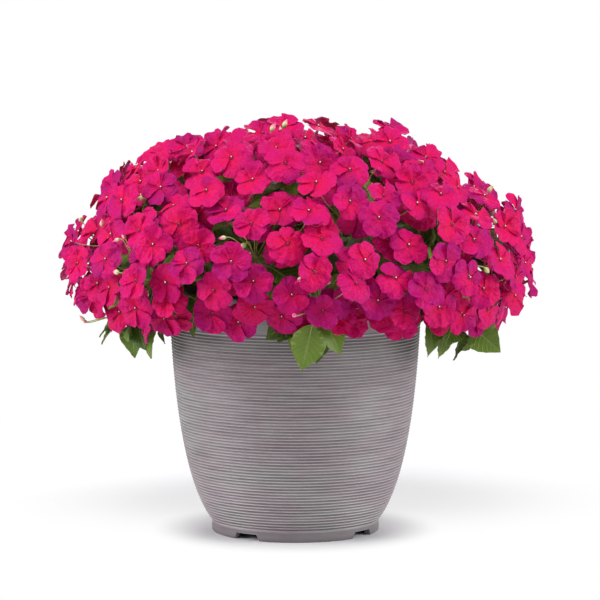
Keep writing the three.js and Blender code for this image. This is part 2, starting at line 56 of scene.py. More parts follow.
# ---- Planter ------------------------------------------------------------------------------------
# A round flower pot moulded in one shot from grey mauve polypropylene. Fine level ribs are turned
# into the mould round its belly, under a plain band. It stands on a foot ring whose four gaps let
# the water from its drain holes run away.
RIM_RADIUS, RIM_HEIGHT, RIM_ROUNDING, RIM_SHOULDER, RIM_INNER_ROUNDING = 127, 244, 1.2, 0.35, 0.8
BAND = [[126, 214], [126.5, 228], [RIM_RADIUS, 240]]
BAND_STEP = [[0.1, 0.6], [-0.5, 1.2], [-0.5, 2]]
BELLY = np.array([[84.2, 10], [118, 54], [125.8, 208]])
RIB_COUNT, RIB_PITCH, RIB_DEPTH, RIB_EVEN = 64, 3.07, 1.15, 0.9
RIB_OUTLINE = np.array([[0.04, 0.25], [0.18, 0.8], [0.4, 1], [0.64, 0.9], [0.78, 0.3], [0.9, 0]])
RIB_WAVES = ((2, 0.05), (5, 0.05), (11, 0.04))
WALL, WALL_FOOT, WALL_STEPS = 4, 13.3, 14
FOOT_RADIUS, FOOT_WIDTH, FOOT_HEIGHT, FOOT_DRAFT, FOOT_FLARE = 84, 6, 9, 1, 0.4
FOOT_ROUNDING, FOOT_INNER_ROUNDING = 0.5, 0.4
FOOT_GAPS, FOOT_GAP_HALF, FOOT_GAP_TAPER, FOOT_GAP_HEIGHT = (-127, -35.5, 53, 143.5), 15, 3, 6.5
FLOOR_UNDERSIDE, FLOOR_TOP, FLOOR_SEAM = 7.5, 11.5, 70
FLOOR_RADIUS, FLOOR_SIDES, FLOOR_INSET = 72, 64, 0.2
DRAIN_COUNT, DRAIN_RADIUS, DRAIN_CIRCLE, DRAIN_SIDES = 4, 6, 48, 24
POT_COLUMNS, COLUMN_ROOM = 132, 0.9
FOOT_TONE, FLOOR_TONE = 0.19, 0.6


def linear(colour):
    """An sRGB hex colour as linear RGBA."""
    parts = [int(colour[i:i + 2], 16) / 255 for i in (1, 3, 5)]
    return [p / 12.92 if p <= 0.04045 else ((p + 0.055) / 1.055) ** 2.4 for p in parts] + [1]


def add(tree, kind, sockets=(), ramp=(), **settings):
    """One shader node with its settings, its ramp's stops, and its sockets' values or links. A
    node that is given for a socket is linked by its first live output."""
    node = tree.nodes.new("ShaderNode" + kind)
    for name, value in settings.items():
        setattr(node, name, value)
    for name, value in dict(sockets).items():
        if isinstance(value, bpy.types.Node):
            value = next(output for output in value.outputs if output.enabled)
        if isinstance(value, bpy.types.NodeSocket):
            tree.links.new(value, node.inputs[name])
        else:
            node.inputs[name].default_value = value
    for i, (place, colour) in enumerate(ramp):
        stops = node.color_ramp.elements
        stop = stops[i] if i < len(stops) else stops.new(place)
        stop.position, stop.color = place, linear(colour)
    return node


def material(name, stored=None):
    """An empty node material, its tree, where a point lies, and the three details stored for it."""
    made = bpy.data.materials.new(name)
    made.use_nodes = True
    tree = made.node_tree
    tree.nodes.clear()
    where = add(tree, "TexCoord").outputs["Object"]
    if not stored:
        return made, tree, where
    details = add(tree, "Attribute", attribute_name=stored).outputs["Vector"]
    return made, tree, where, *add(tree, "SeparateXYZ", {"Vector": details}).outputs


def placed(name, data):
    """An object of the scene with this mesh, lamp or lens."""
    made = bpy.data.objects.new(name, data)
    bpy.context.scene.collection.objects.link(made)
    return made


def piece(name, parts, materials, nodes=(), crease=60, details="grown"):
    """A smooth mesh piece that rides on the pot, from parts of (points in mm, faces, material
    number, detail for each point). It stands for the CAD nodes that it names."""
    points, loops, sizes, slots, detail, base = [], [], [], [], [], 0
    for corners, blocks, numbers, more in parts:
        blocks = blocks if isinstance(blocks, list) else [blocks]
        numbers = numbers if isinstance(numbers, list) else [numbers] * len(blocks)
        for block, number in zip(blocks, numbers):
            loops.append(block.ravel() + base)
            sizes.append(np.full(len(block), block.shape[1]))
            slots.append(np.full(len(block), number))
        points.append(corners)
        detail.append(np.broadcast_to(more, (len(corners), 3)))
        base += len(corners)
    points, loops, sizes, slots = (np.concatenate(x) for x in (points, loops, sizes, slots))
    mesh = bpy.data.meshes.new(name)
    mesh.vertices.add(len(points))
    mesh.vertices.foreach_set("co", (points / 1000).ravel())
    mesh.loops.add(len(loops))
    mesh.loops.foreach_set("vertex_index", loops.astype(np.int32))
    mesh.polygons.add(len(sizes))
    mesh.polygons.foreach_set("loop_start", (np.cumsum(sizes) - sizes).astype(np.int32))
    mesh.polygons.foreach_set("material_index", slots.astype(np.int32))
    if details:
        made = mesh.attributes.new(details, "FLOAT_VECTOR", "POINT")
        made.data.foreach_set("vector", np.concatenate(detail).astype(np.float32).ravel())
    mesh.update(calc_edges=True)
    mesh.shade_smooth()
    mesh.set_sharp_from_angle(angle=math.radians(crease))
    for finish in materials:
        mesh.materials.append(finish)
    made = placed(name, mesh)
    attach(made, "root")
    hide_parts(*nodes)


def grid_faces(rows, columns, closed_rows=False, closed_columns=False):
    """Quads over a grid of points that is stored row by row."""
    row = np.arange(rows if closed_rows else rows - 1)[:, None]
    column = np.arange(columns if closed_columns else columns - 1)[None, :]
    below, right = (row + 1) % rows, (column + 1) % columns
    corners = [row * columns + column, row * columns + right, below * columns + right,
               below * columns + column]
    return np.stack(corners, -1).reshape(-1, 4)


def belly(height):
    """The (radius, height) points of the belly's outline, one curve through its foot and band."""
    height = np.atleast_1d(height)
    curve, slope = BELLY[0] - 2 * BELLY[1] + BELLY[2], 2 * (BELLY[1] - BELLY[0])
    root = np.sqrt(slope[1] ** 2 + 4 * curve[1] * (height - BELLY[0, 1]))
    share = (root - slope[1]) / (2 * curve[1])
    return np.stack([BELLY[0, 0] + slope[0] * share + curve[0] * share ** 2, height], 1)


band_foot = BELLY[2, 1]
rib_drops = RIB_PITCH * (RIB_COUNT - np.arange(RIB_COUNT)[:, None] - RIB_OUTLINE[:, 0])
ribs = belly(band_foot - rib_drops.ravel())
wall_inside = belly(np.linspace(band_foot, WALL_FOOT, WALL_STEPS)) - [WALL, 0]
foot_inside = FOOT_RADIUS - FOOT_WIDTH
foot = [[FLOOR_SEAM, FLOOR_UNDERSIDE], [foot_inside - FOOT_DRAFT, FLOOR_UNDERSIDE],
        [foot_inside, FOOT_INNER_ROUNDING], [foot_inside + FOOT_INNER_ROUNDING, 0],
        [FOOT_RADIUS - FOOT_ROUNDING, 0], [FOOT_RADIUS, FOOT_ROUNDING],
        [FOOT_RADIUS + FOOT_FLARE, FOOT_HEIGHT / 2], [BELLY[0, 0], FOOT_HEIGHT]]
rim = [[RIM_RADIUS, RIM_HEIGHT - RIM_ROUNDING], [RIM_RADIUS - RIM_SHOULDER, RIM_HEIGHT - RIM_SHOULDER],
       [RIM_RADIUS - RIM_ROUNDING, RIM_HEIGHT], [RIM_RADIUS - WALL + RIM_INNER_ROUNDING, RIM_HEIGHT],
       [RIM_RADIUS - WALL, RIM_HEIGHT - RIM_INNER_ROUNDING]]
profile = np.concatenate([
    foot,
    ribs,
    belly(band_foot) + BAND_STEP,
    BAND,
    rim,
    wall_inside,
    [[wall_inside[-1, 0] - WALL, FLOOR_TOP], [FLOOR_SEAM, FLOOR_TOP]],
])
ribbed = slice(len(foot), len(foot) + len(ribs))
cuts = np.zeros((len(profile), 1))
cuts[ribbed, 0] = np.tile(RIB_OUTLINE[:, 1], RIB_COUNT)

# Each edge of a foot gap gets a column of its own, and no even column stands too near to one.
half_gap = math.degrees(FOOT_GAP_HALF / FOOT_RADIUS)
gap_taper = math.degrees(FOOT_GAP_TAPER / FOOT_RADIUS)
gap_edges = np.array([gap - 90 + side * edge for gap in FOOT_GAPS for side in (-1, 1)
                      for edge in (half_gap, half_gap - gap_taper)])
even = np.arange(POT_COLUMNS) * 360 / POT_COLUMNS
apart = np.abs((even[:, None] - gap_edges + 180) % 360 - 180).min(1)
columns = np.sort(np.concatenate([even[apart > COLUMN_ROOM], gap_edges % 360]))
lift = np.zeros(len(columns))
for gap in FOOT_GAPS:
    off = np.abs((columns - gap + 90 + 180) % 360 - 180)
    lift = np.maximum(lift, np.clip((half_gap - off) / gap_taper, 0, 1))

# The ribs are cut unevenly deep round the pot, each in its own way.
around = np.radians(columns)
mould = np.random.default_rng(7)
wobble = mould.uniform(0, 2 * math.pi, (3, RIB_COUNT)).repeat(len(RIB_OUTLINE), 1)
unevenness = np.full((len(profile), len(columns)), RIB_EVEN)
for (count, size), shift in zip(RIB_WAVES, wobble):
    unevenness[ribbed] += size * np.sin(count * around + shift[:, None])
radius = profile[:, :1] - RIB_DEPTH * cuts * unevenness
under_floor = profile[:, 1:] < FLOOR_UNDERSIDE
height = np.where(under_floor, np.maximum(profile[:, 1:], FOOT_GAP_HEIGHT * lift), profile[:, 1:])
shell = np.stack([radius * np.cos(around), radius * np.sin(around), height], -1).reshape(-1, 3)
# How near each point lies to a rib's top, which the material turns into a painted highlight on the ridges
# and painted shade in the grooves. The foot ring takes a set darker tone on the same scale.
rib_top = 1 - cuts * unevenness
rib_top[:len(foot)] = FOOT_TONE
on_belly = np.zeros_like(rib_top)
on_belly[:ribbed.stop] = 1
shell_detail = np.stack([rib_top, on_belly, np.zeros_like(rib_top)], -1).reshape(-1, 3)
shell_faces = grid_faces(len(profile), len(columns), closed_rows=True, closed_columns=True)

# The floor of the pot is a flat plate with its drain holes, moulded with the wall.
plate = bpy.data.curves.new("pot_floor", "CURVE")
plate.dimensions = "2D"
plate.fill_mode = "BOTH"
plate.extrude = (FLOOR_TOP - FLOOR_UNDERSIDE) / 2000 - FLOOR_INSET / 1000
drain_turns = 2 * math.pi * (np.arange(DRAIN_COUNT) + 0.5) / DRAIN_COUNT
rings = [(0, 0, FLOOR_RADIUS, FLOOR_SIDES)]
rings += [(DRAIN_CIRCLE * math.cos(turn), DRAIN_CIRCLE * math.sin(turn), DRAIN_RADIUS, DRAIN_SIDES)
          for turn in drain_turns]
for across, back, size, sides in rings:
    ring = plate.splines.new("POLY")
    ring.points.add(sides - 1)
    ring.use_cyclic_u = True
    for i, point in enumerate(ring.points):
        angle = 2 * math.pi * i / sides
        point.co = ((across + size * math.cos(angle)) / 1000, (back + size * math.sin(angle)) / 1000, 0, 1)
plate_object = bpy.data.objects.new("pot_floor", plate)
plate_mesh = bpy.data.meshes.new_from_object(plate_object)
plate_points = np.array([v.co for v in plate_mesh.vertices]) * 1000
plate_points[:, 2] += (FLOOR_TOP + FLOOR_UNDERSIDE) / 2
plate_faces = [np.array([f.vertices[:] for f in plate_mesh.polygons if len(f.vertices) == count])
               for count in sorted({len(f.vertices) for f in plate_mesh.polygons})]
bpy.data.objects.remove(plate_object)

# Matte moulded polypropylene. Its ribs carry painted light and shade: the ridges are painted paler
# and the grooves between them darker. Its filler gives it patches of mauve and plain grey 8 cm
# wide, with level flecks of 17 by 2 mm. The grain of the mould is drawn at 1 mm, as coarse as it
# needs to show. The details of a point say how near it is to the top of a rib, and whether it is
# on the belly.
pot_plastic, tree, where, rib_top, on_belly, _ = material("moulded_polypropylene", "rib_place")
level = add(tree, "Mapping", {"Vector": where, "Scale": (1, 1, 2.2)})
clouds = add(tree, "TexNoise", {"Vector": level, "Scale": 13, "Detail": 3, "Roughness": 0.55})
cloudy = add(tree, "ValToRGB", {"Fac": clouds}, [(0.36, "#90838a"), (0.5, "#92888c"), (0.64, "#939091")])
along = add(tree, "Mapping", {"Vector": where, "Scale": (1, 1, 9)})
flecks = add(tree, "TexNoise", {"Vector": along, "Scale": 60, "Detail": 4})
flecked = add(tree, "ValToRGB", {"Fac": flecks}, [(0.3, "#7c7278"), (0.7, "#a8a1a4")])
streaked = add(tree, "Mix", {"Factor": 0.22, "A": cloudy, "B": flecked}, data_type="RGBA")
# Painted light and shade: ridges are painted lighter and grooves darker.
groove_shade = add(tree, "MapRange", {"Value": rib_top, "To Min": 0.36, "To Max": 1.33})
rib_shade = add(tree, "Mix", {"Factor": on_belly, "A": 0.86, "B": groove_shade})
rib_shaded_colour = add(tree, "Mix", {"Factor": 1, "A": streaked, "B": rib_shade},
             data_type="RGBA", blend_type="MULTIPLY")
grain = add(tree, "TexNoise", {"Vector": where, "Scale": 900})
bump = add(tree, "Bump", {"Height": grain, "Strength": 0.25, "Distance": 0.0003})
rough = add(tree, "MapRange", {"Value": flecks, "To Min": 0.42, "To Max": 0.62})
plastic = add(tree, "BsdfPrincipled", {"Base Color": rib_shaded_colour, "Roughness": rough, "IOR": 1.49,
                                       "Normal": bump})
add(tree, "OutputMaterial", {"Surface": plastic})

piece("pot_shell", [
    (shell, shell_faces, 0, shell_detail),
    (plate_points, plate_faces, 0, (FLOOR_TONE, 0, 0)),
], [pot_plastic], ["planter"], crease=50, details="rib_place")


# ---- Soil ---------------------------------------------------------------------------------------
# Peat potting mix, damp and crumbly, filled by hand to an inch under the rim and settled by
# watering. White grains of perlite lie in it, which keep it open.
SOIL_LEVEL, SOIL_RADIUS, FIT_GAP = 216, 121.9, 0.3
SOIL_RINGS, SOIL_SPOKES, BED_STEPS = 44, 112, 6
LUMPS, LUMP_DEPTH, CRUMB_SPREAD, CRUMB_SEAT = ((1.6, 26), (1.1, 7), (0.7, 2.6)), 0.9, 0.97, 0.6
CRUMB_COUNT, CRUMB_SIZES, PERLITE_COUNT, PERLITE_SIZES = 240, (1, 3.4), 90, (0.9, 1.9)
DENTS, DENT_DEPTH, DENT_PITCH = 4, 0.08, 2.2


def pebble(centre, size, seed):
    """A rough little lump from a twice-cut ball, drawn by its own seed."""
    draws = np.random.default_rng(seed)
    ways = draws.normal(0, 1, (DENTS, 3))
    push = 1 + DENT_DEPTH * np.sin(ball @ ways.T * DENT_PITCH + draws.uniform(0, 6, DENTS)).sum(1)
    return ball * push[:, None] * size * draws.uniform(0.7, 1.2, 3) + centre


def ball_of(cuts):
    """The points and faces of a ball of radius 1."""
    shape = bmesh.new()
    bmesh.ops.create_icosphere(shape, subdivisions=cuts, radius=1)
    points = np.array([v.co for v in shape.verts])
    faces = np.array([[v.index for v in f.verts] for f in shape.faces])
    shape.free()
    return points, faces


def spun(rows, turns):
    """Points of rows of (radius, height), each spun to all the turns about the pot's axis."""
    return np.stack([np.outer(rows[:, 0], np.cos(turns)), np.outer(rows[:, 0], np.sin(turns)),
                     np.broadcast_to(rows[:, 1:], (len(rows), len(turns)))], -1).reshape(-1, 3)


ball, ball_faces = ball_of(2)
turns = np.arange(SOIL_SPOKES) * 2 * math.pi / SOIL_SPOKES
reaches = np.linspace(0.4, SOIL_RADIUS, SOIL_RINGS)
top = spun(np.stack([reaches, 0 * reaches], 1), turns)
lumps = np.array([sum(size * noise.noise(Vector(point) / span) for size, span in LUMPS) for point in top])
top[:, 2] = SOIL_LEVEL + lumps - LUMP_DEPTH
bed = belly(np.linspace(band_foot, WALL_FOOT, BED_STEPS)) - [WALL + FIT_GAP, 0]
bed = np.concatenate([[[SOIL_RADIUS, SOIL_LEVEL - 2]], bed, [[bed[-1, 0] - WALL, FLOOR_TOP + FIT_GAP]]])
soil_rows, spoke = SOIL_RINGS + len(bed), np.arange(SOIL_SPOKES)[None]
soil_parts = [(np.concatenate([top, spun(bed, turns)]), [
    grid_faces(soil_rows, SOIL_SPOKES, closed_columns=True)[:, ::-1],
    spoke, (soil_rows - 1) * SOIL_SPOKES + spoke[:, ::-1]], 0, (0, 0, 0))]
crumbs = np.random.default_rng(11)
for i in range(CRUMB_COUNT + PERLITE_COUNT):
    reach, turn = SOIL_RADIUS * CRUMB_SPREAD * math.sqrt(crumbs.uniform()), crumbs.uniform(0, 2 * math.pi)
    white = i >= CRUMB_COUNT
    size = crumbs.uniform(*(PERLITE_SIZES if white else CRUMB_SIZES))
    place = (reach * math.cos(turn), reach * math.sin(turn), SOIL_LEVEL + 0.2 * size - CRUMB_SEAT)
    soil_parts.append((pebble(place, size, i), ball_faces, int(white), (0, 0, 0)))

# Damp peat: near black brown clods of 5 mm with paler fibres, and no gloss.
potting_mix, tree, where = material("damp_peat")
clods = add(tree, "TexNoise", {"Vector": where, "Scale": 220, "Detail": 6})
peat = add(tree, "ValToRGB", {"Fac": clods}, [(0.35, "#1d130c"), (0.55, "#3a291d"), (0.72, "#6a4f3a")])
bump = add(tree, "Bump", {"Height": clods, "Distance": 0.001})
earth = add(tree, "BsdfPrincipled", {"Base Color": peat, "Roughness": 0.95, "Normal": bump})
add(tree, "OutputMaterial", {"Surface": earth})

# Perlite: popped volcanic glass, chalk white and full of pores. They are finer than can show, and
# are drawn 0.7 mm wide.
perlite, tree, where = material("perlite")
pores = add(tree, "TexVoronoi", {"Vector": where, "Scale": 1400})
chalk = add(tree, "ValToRGB", {"Fac": pores}, [(0.05, "#b9b2a6"), (0.5, "#eceae4")])
bump = add(tree, "Bump", {"Height": pores, "Distance": 0.0004})
grain = add(tree, "BsdfPrincipled", {"Base Color": chalk, "Roughness": 0.9, "Normal": bump})
add(tree, "OutputMaterial", {"Surface": grain})

piece("soil_bed", soil_parts, [potting_mix, perlite], ["soil"], details=None)


# ---- Stems --------------------------------------------------------------------------------------
# The plant's fleshy stems, glassy and pale green with red at their joints. Each rises from the
# soil, leans over the rim and ends in a stalk whose flowers lie on the surface of the mound.
# Every place comes from one rule and one fixed hash, which also places the solids of the plant.
MOUND_MIDDLE, MOUND_REACH, MOUND_RISE, MOUND_DROP, DROP_AT_SIDES = 270, 230, 134, 80, 0.14
CROWN = (62, 16, 0.03)
SWELLS = [(0, 42, 20, -0.08), (0, 12, 22, 0.025), (180, 40, 28, -0.07), (180, -2, 24, 0.02),
          (180, -40, 24, -0.05), (60, 15, 30, 0.02), (115, 45, 28, -0.05)]
FACE_AT_RING, FACE_RISE, FACE_DROP = 15, 5 / 6, 1 / 2
SHOOT_COUNT, LOWEST_SHOOT, SHOOT_DEPTH, SHOOT_LIFT = 28, -30, 56, 10
STEM_SUNK, STEM_LEAN, STEM_REACH_MAX, STEM_RISE_MAX, STEM_RUN = 26, 0.52, 104, 90, 42
STALK_LENGTH, SHOOT_SWAY, STEM_CLIMB = 24, 0.12, 0.6
STEM_RADIUS, STEM_TAPER, STEM_SIDES, STEM_STEPS, STALK_STEPS = 3.1, 1.3, 10, 30, 9
STEM_JOINTS, JOINT_SPREAD, JOINT_SWELL, JOINT_RED = 7, 0.1, 0.5, 0.7
GOLDEN_ANGLE = math.pi * (3 - math.sqrt(5))
UP = np.array([0, 0, 1])
SHOOT, BLOOM, LEAF = 0, 1, 2


def draw(kind, item, way, purpose):
    """A fixed draw between -1 and 1 for whatever the four whole numbers name."""
    mask = 0xFFFFFFFF
    mixed = (kind + 1) * 0x9E3779B1 ^ (item + 1) * 0x85EBCA6B
    mixed = (mixed ^ (way + 1) * 0xC2B2AE35 ^ (purpose + 1) * 0x27D4EB2F) & mask
    mixed = (mixed ^ mixed >> 15) * 0x2C1B3C6D & mask
    mixed = (mixed ^ mixed >> 12) * 0x297A2D39 & mask
    return (mixed ^ mixed >> 15) / 2 ** 31 - 1


def unit(vector):
    return vector / np.linalg.norm(vector)


def turned(vector, axis, angle):
    """A vector turned about a unit axis."""
    return (vector * math.cos(angle) + np.cross(axis, vector) * math.sin(angle)
            + axis * np.dot(axis, vector) * (1 - math.cos(angle)))


def direction(azimuth, elevation):
    level = math.cos(elevation)
    return np.array([level * math.cos(azimuth), level * math.sin(azimuth), math.sin(elevation)])


def mound_point(azimuth, turn):
    """A point of the surface that the flowers lie on."""
    toward = direction(azimuth, turn)
    crown_turn, crown_spread, crown_size = CROWN
    share = 1 + crown_size * math.exp(-((math.degrees(turn) - crown_turn) / crown_spread) ** 2)
    for at_azimuth, at_turn, spread, size in SWELLS:
        centre = direction(math.radians(at_azimuth), math.radians(at_turn))
        apart = math.degrees(math.acos(min(1, np.dot(toward, centre))))
        share += size * math.exp(-(apart / spread) ** 2)
    rise = MOUND_RISE if turn > 0 else MOUND_DROP * (1 + DROP_AT_SIDES * math.cos(2 * azimuth))
    reach = MOUND_REACH * share * math.cos(turn)
    return np.array([reach * math.cos(azimuth), reach * math.sin(azimuth),
                     MOUND_MIDDLE + rise * share * math.sin(turn)])


def facing(azimuth, turn):
    """The way that a flower looks: up at the top, outward and a little up below."""
    return direction(azimuth, math.radians(FACE_AT_RING) + (FACE_RISE if turn > 0 else FACE_DROP) * turn)


def even_turns(count, lowest):
    """Turns that share the mound evenly between places, from its top down to the lowest turn."""
    steps, highest, lowest = 256, math.pi / 2, math.radians(lowest)
    turn = highest + (lowest - highest) * (np.arange(steps) + 0.5) / steps
    rise = np.where(turn > 0, MOUND_RISE, MOUND_DROP)
    bands = np.cos(turn) * np.hypot(MOUND_REACH * np.sin(turn), rise * np.cos(turn))
    areas = np.concatenate([[0], np.cumsum(bands)])
    wanted = areas[-1] * (np.arange(count) + 0.5) / count
    return highest + (lowest - highest) * np.interp(wanted, areas, np.arange(steps + 1)) / steps


def bent(points, share):
    """Points of a Bezier curve through its three or four control points."""
    share = np.atleast_1d(share)[:, None]
    line = [np.asarray(p, float) for p in points]
    line = [p + 0 * share for p in line]
    while len(line) > 1:
        line = [a + (b - a) * share for a, b in zip(line, line[1:])]
    return line[0]


def tube(path, radii, sides=8):
    """A closed tube of points and faces along a path, with a radius at each of its points."""
    ways = np.gradient(path, axis=0)
    ways /= np.linalg.norm(ways, axis=1)[:, None]
    across = np.cross(ways[0], UP if abs(ways[0][2]) < 0.9 else [1, 0, 0])
    angle = np.arange(sides)[:, None] * 2 * math.pi / sides
    rows = []
    for centre, way, radius in zip(path, ways, radii):
        across = unit(across - way * np.dot(across, way))
        rows.append(centre + radius * (np.cos(angle) * across + np.sin(angle) * np.cross(way, across)))
    last = (len(path) - 1) * sides
    faces = [grid_faces(len(path), sides, closed_columns=True)]
    faces += [np.arange(sides)[None, ::-1], last + np.arange(sides)[None]]
    return np.concatenate(rows), faces


stems = []
for shoot, turn in enumerate(even_turns(SHOOT_COUNT, LOWEST_SHOOT)):
    azimuth = shoot * GOLDEN_ANGLE + SHOOT_SWAY * draw(SHOOT, shoot, 0, 0)
    lift = SHOOT_LIFT * draw(SHOOT, shoot, 0, 1)
    surface, outward = mound_point(azimuth, turn), facing(azimuth, turn)
    tip = surface + outward * (lift - SHOOT_DEPTH)
    end = direction(azimuth, turn if turn > 0 else turn * 5 / 3)
    foot = min(STEM_LEAN * math.hypot(tip[0], tip[1]), STEM_REACH_MAX) * direction(azimuth, 0)
    foot[2] = SOIL_LEVEL - STEM_SUNK
    climb = min(STEM_RISE_MAX, STEM_CLIMB * (tip[2] - foot[2]) + 2 * STEM_SUNK)
    stems.append({"turn": turn, "lift": lift, "surface": surface, "outward": outward, "tip": tip,
                  "end": end, "bends": [foot, foot + UP * climb, tip - end * STEM_RUN, tip],
                  "blooms": [], "leaves": []})

# Fleshy stem: watery green skin over clear flesh, so light sinks in and it shines, with a mottle
# of 4 mm. The details of a point are its share of the way along, and how near it is to a joint.
stem_skin, tree, where, length_share, near_joint, _ = material("fleshy_stem", "grown")
mottle = add(tree, "TexNoise", {"Vector": where, "Scale": 260, "Detail": 3})
green = add(tree, "ValToRGB", {"Fac": length_share}, [(0, "#7f8a4a"), (0.5, "#8fae5a"), (1, "#9fb964")])
red = add(tree, "Mix", {"Factor": near_joint, "A": green, "B": linear("#9a5a48")}, data_type="RGBA")
mottled = add(tree, "Mix", {"Factor": 0.35, "A": red, "B": mottle.outputs["Color"]},
              data_type="RGBA", blend_type="OVERLAY")
bump = add(tree, "Bump", {"Height": mottle, "Strength": 0.3, "Distance": 0.0004})
flesh = add(tree, "BsdfPrincipled", {
    "Base Color": mottled, "Roughness": 0.38, "IOR": 1.4, "Normal": bump,
    "Subsurface Weight": 0.25, "Subsurface Radius": (0.6, 0.8, 0.3), "Subsurface Scale": 0.003})
add(tree, "OutputMaterial", {"Surface": flesh})

for stem in stems:
    low = bent(stem["bends"], np.linspace(0, 1, STEM_STEPS))
    high = stem["tip"] + np.outer(np.linspace(1.5, STALK_LENGTH, STALK_STEPS), stem["end"])
    along = np.linspace(0, 1, STEM_STEPS + STALK_STEPS)
    joint = np.exp(-((along * STEM_JOINTS % 1 - 0.5) / JOINT_SPREAD) ** 2)
    radii = STEM_RADIUS - STEM_TAPER * along + JOINT_SWELL * joint * (1 - along)
    points, faces = tube(np.concatenate([low, high]), radii, STEM_SIDES)
    detail = np.stack([along, JOINT_RED * joint, 0 * along], 1).repeat(STEM_SIDES, 0)
    stem["tube"] = (points, faces, 0, detail)


# ---- Leaves -------------------------------------------------------------------------------------
# Pointed oval leaves on short stalks, thin and soft, with scalloped edges, a pale sunk midrib and
# curved side veins. They grow in a loose whorl under the flowers, and some hang out below them.
LEAVES_PER_SHOOT, LEAVES_PER_LOW_SHOOT, LEAF_WAYS = 4, 6, 14
LEAF_LENGTH, LEAF_HALF_WIDTH, LEAF_STALK, LEAF_THICKNESS = 44, 14.5, 15, 0.45
LEAF_FOLD, LEAF_ARCH, LEAF_DROOP, LEAF_WAVE = 0.22, 0.1, 0.24, 0.9
LEAF_OUTLINE = ((0.14, 0.66, 1), (0.44, 1, -1), (0.76, 0.6, 1), (1, 0, 0))
FIRST_LEAF, LEAF_SPACING, LEAF_HANG, LEAF_UPWARD = 0.97, 0.05, 0.4, 0.5
LEAF_PITCH, LEAF_PITCH_STEP, LEAF_PITCH_SPREAD = 56, 3, 14
LEAF_SWAY, LEAF_TURN_BY_WAY, LEAF_ROLL, LEAF_SIZE_SPREAD = 0.5, 0.35, 0.35, 0.14
LEAF_BASE, LEAF_SHAPE, LEAF_TEETH, WAVE_LENGTH = 0.6, 0.75, 0.05, 0.6
RIPPLE, RIPPLE_COUNT, RIPPLE_SLANT, RIPPLE_WIDTH = 0.5, 7, 1.6, 6
SIDE_VEINS, VEIN_SLANT, VEIN_PALENESS = 9, -0.24, 0.36
STALK_RADIUS, STALK_TAPER, STALK_SAG, STALK_SINK, MIDRIB_REACH = 1.15, 0.95, 1.2, 0.4, 0.6
PATH_STEPS, MATCH_GAP, MET_BY_CHANCE = 201, 0.05, 3


def leaf_place(bends, outward, place, item, leaf, way, hang=0):
    """A leaf's root on a stem, the way it runs, its upper side and its size."""
    shares = np.linspace(0, 1, PATH_STEPS)
    steps = np.linalg.norm(np.diff(bent(bends, shares), axis=0), axis=1)
    lengths = np.concatenate([[0], np.cumsum(steps)])
    share = np.interp(place * lengths[-1], lengths, shares)
    root = bent(bends, share)[0]
    axis = unit(bent(bends, min(share + 1e-4, 1))[0] - bent(bends, share - 1e-4)[0])
    side = np.cross(axis, UP)
    side = unit(side) if np.dot(side, side) >= 0.01 else np.array([1, 0, 0])
    sway = LEAF_SWAY * draw(LEAF, item, way, 0)
    side = turned(side, axis, leaf * GOLDEN_ANGLE + sway + LEAF_TURN_BY_WAY * way)
    pitch = math.radians(LEAF_PITCH + LEAF_PITCH_STEP * leaf + LEAF_PITCH_SPREAD * draw(LEAF, item, way, 1))
    run = unit(axis * math.cos(pitch) + side * math.sin(pitch) - hang * UP)
    upper = outward + LEAF_UPWARD * UP
    upper = turned(unit(upper - run * np.dot(upper, run)), run, LEAF_ROLL * draw(LEAF, item, way, 2))
    return {"root": root, "run": run, "top": upper, "across": np.cross(upper, run),
            "size": 1 + LEAF_SIZE_SPREAD * draw(LEAF, item, 0, 3), "broad": 1, "seed": item}


def leaf_at(leaf, along, aside, height):
    """Points of a leaf from its own lengths along, across and above its stalk."""
    return (leaf["root"] + np.multiply.outer(along, leaf["run"])
            + np.multiply.outer(aside, leaf["across"]) + np.multiply.outer(height, leaf["top"]))


def nearest(node):
    """How far a point lies from the nearest corner of a CAD node, in millimetres."""
    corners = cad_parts[node].data.vertices
    tree = kdtree.KDTree(len(corners))
    for i, corner in enumerate(corners):
        tree.insert(corner.co, i)
    tree.balance()
    return lambda point: tree.find(Vector(point) / 1000)[2] * 1000


def leaf_corners(leaf):
    """The corners of a leaf's blade as its solid has them: two at each share of its length."""
    length, half = LEAF_LENGTH * leaf["size"], LEAF_HALF_WIDTH * leaf["size"]
    corners = []
    for share, width, wave in LEAF_OUTLINE:
        arch = length * share * (LEAF_ARCH - LEAF_DROOP * share)
        for sign in (-1, 1):
            height = arch + LEAF_FOLD * width * half + LEAF_WAVE * sign * wave
            corners.append(leaf_at(leaf, LEAF_STALK + share * length, sign * width * half, height))
    return corners


# Of the ways that each leaf may grow, the one that its solid took is found by its corners.
for shoot, stem in enumerate(stems):
    gap_to = nearest(f"leafy_stem_{shoot + 1:02d}")
    hang = LEAF_HANG if stem["turn"] < 0 else 0
    for leaf in range(LEAVES_PER_LOW_SHOOT if hang else LEAVES_PER_SHOOT):
        best, found = MET_BY_CHANCE, None
        for way in range(LEAF_WAYS):
            place = leaf_place(stem["bends"], stem["outward"], FIRST_LEAF - LEAF_SPACING * leaf,
                               shoot * LEAVES_PER_LOW_SHOOT + leaf, leaf, way, hang)
            met = sum(gap_to(corner) < MATCH_GAP for corner in leaf_corners(place))
            if met > best:
                best, found = met, place
        if found:
            stem["leaves"].append(found)

full_blade = (23, np.array([-1, -0.7, -0.36, 0, 0.36, 0.7, 1]))


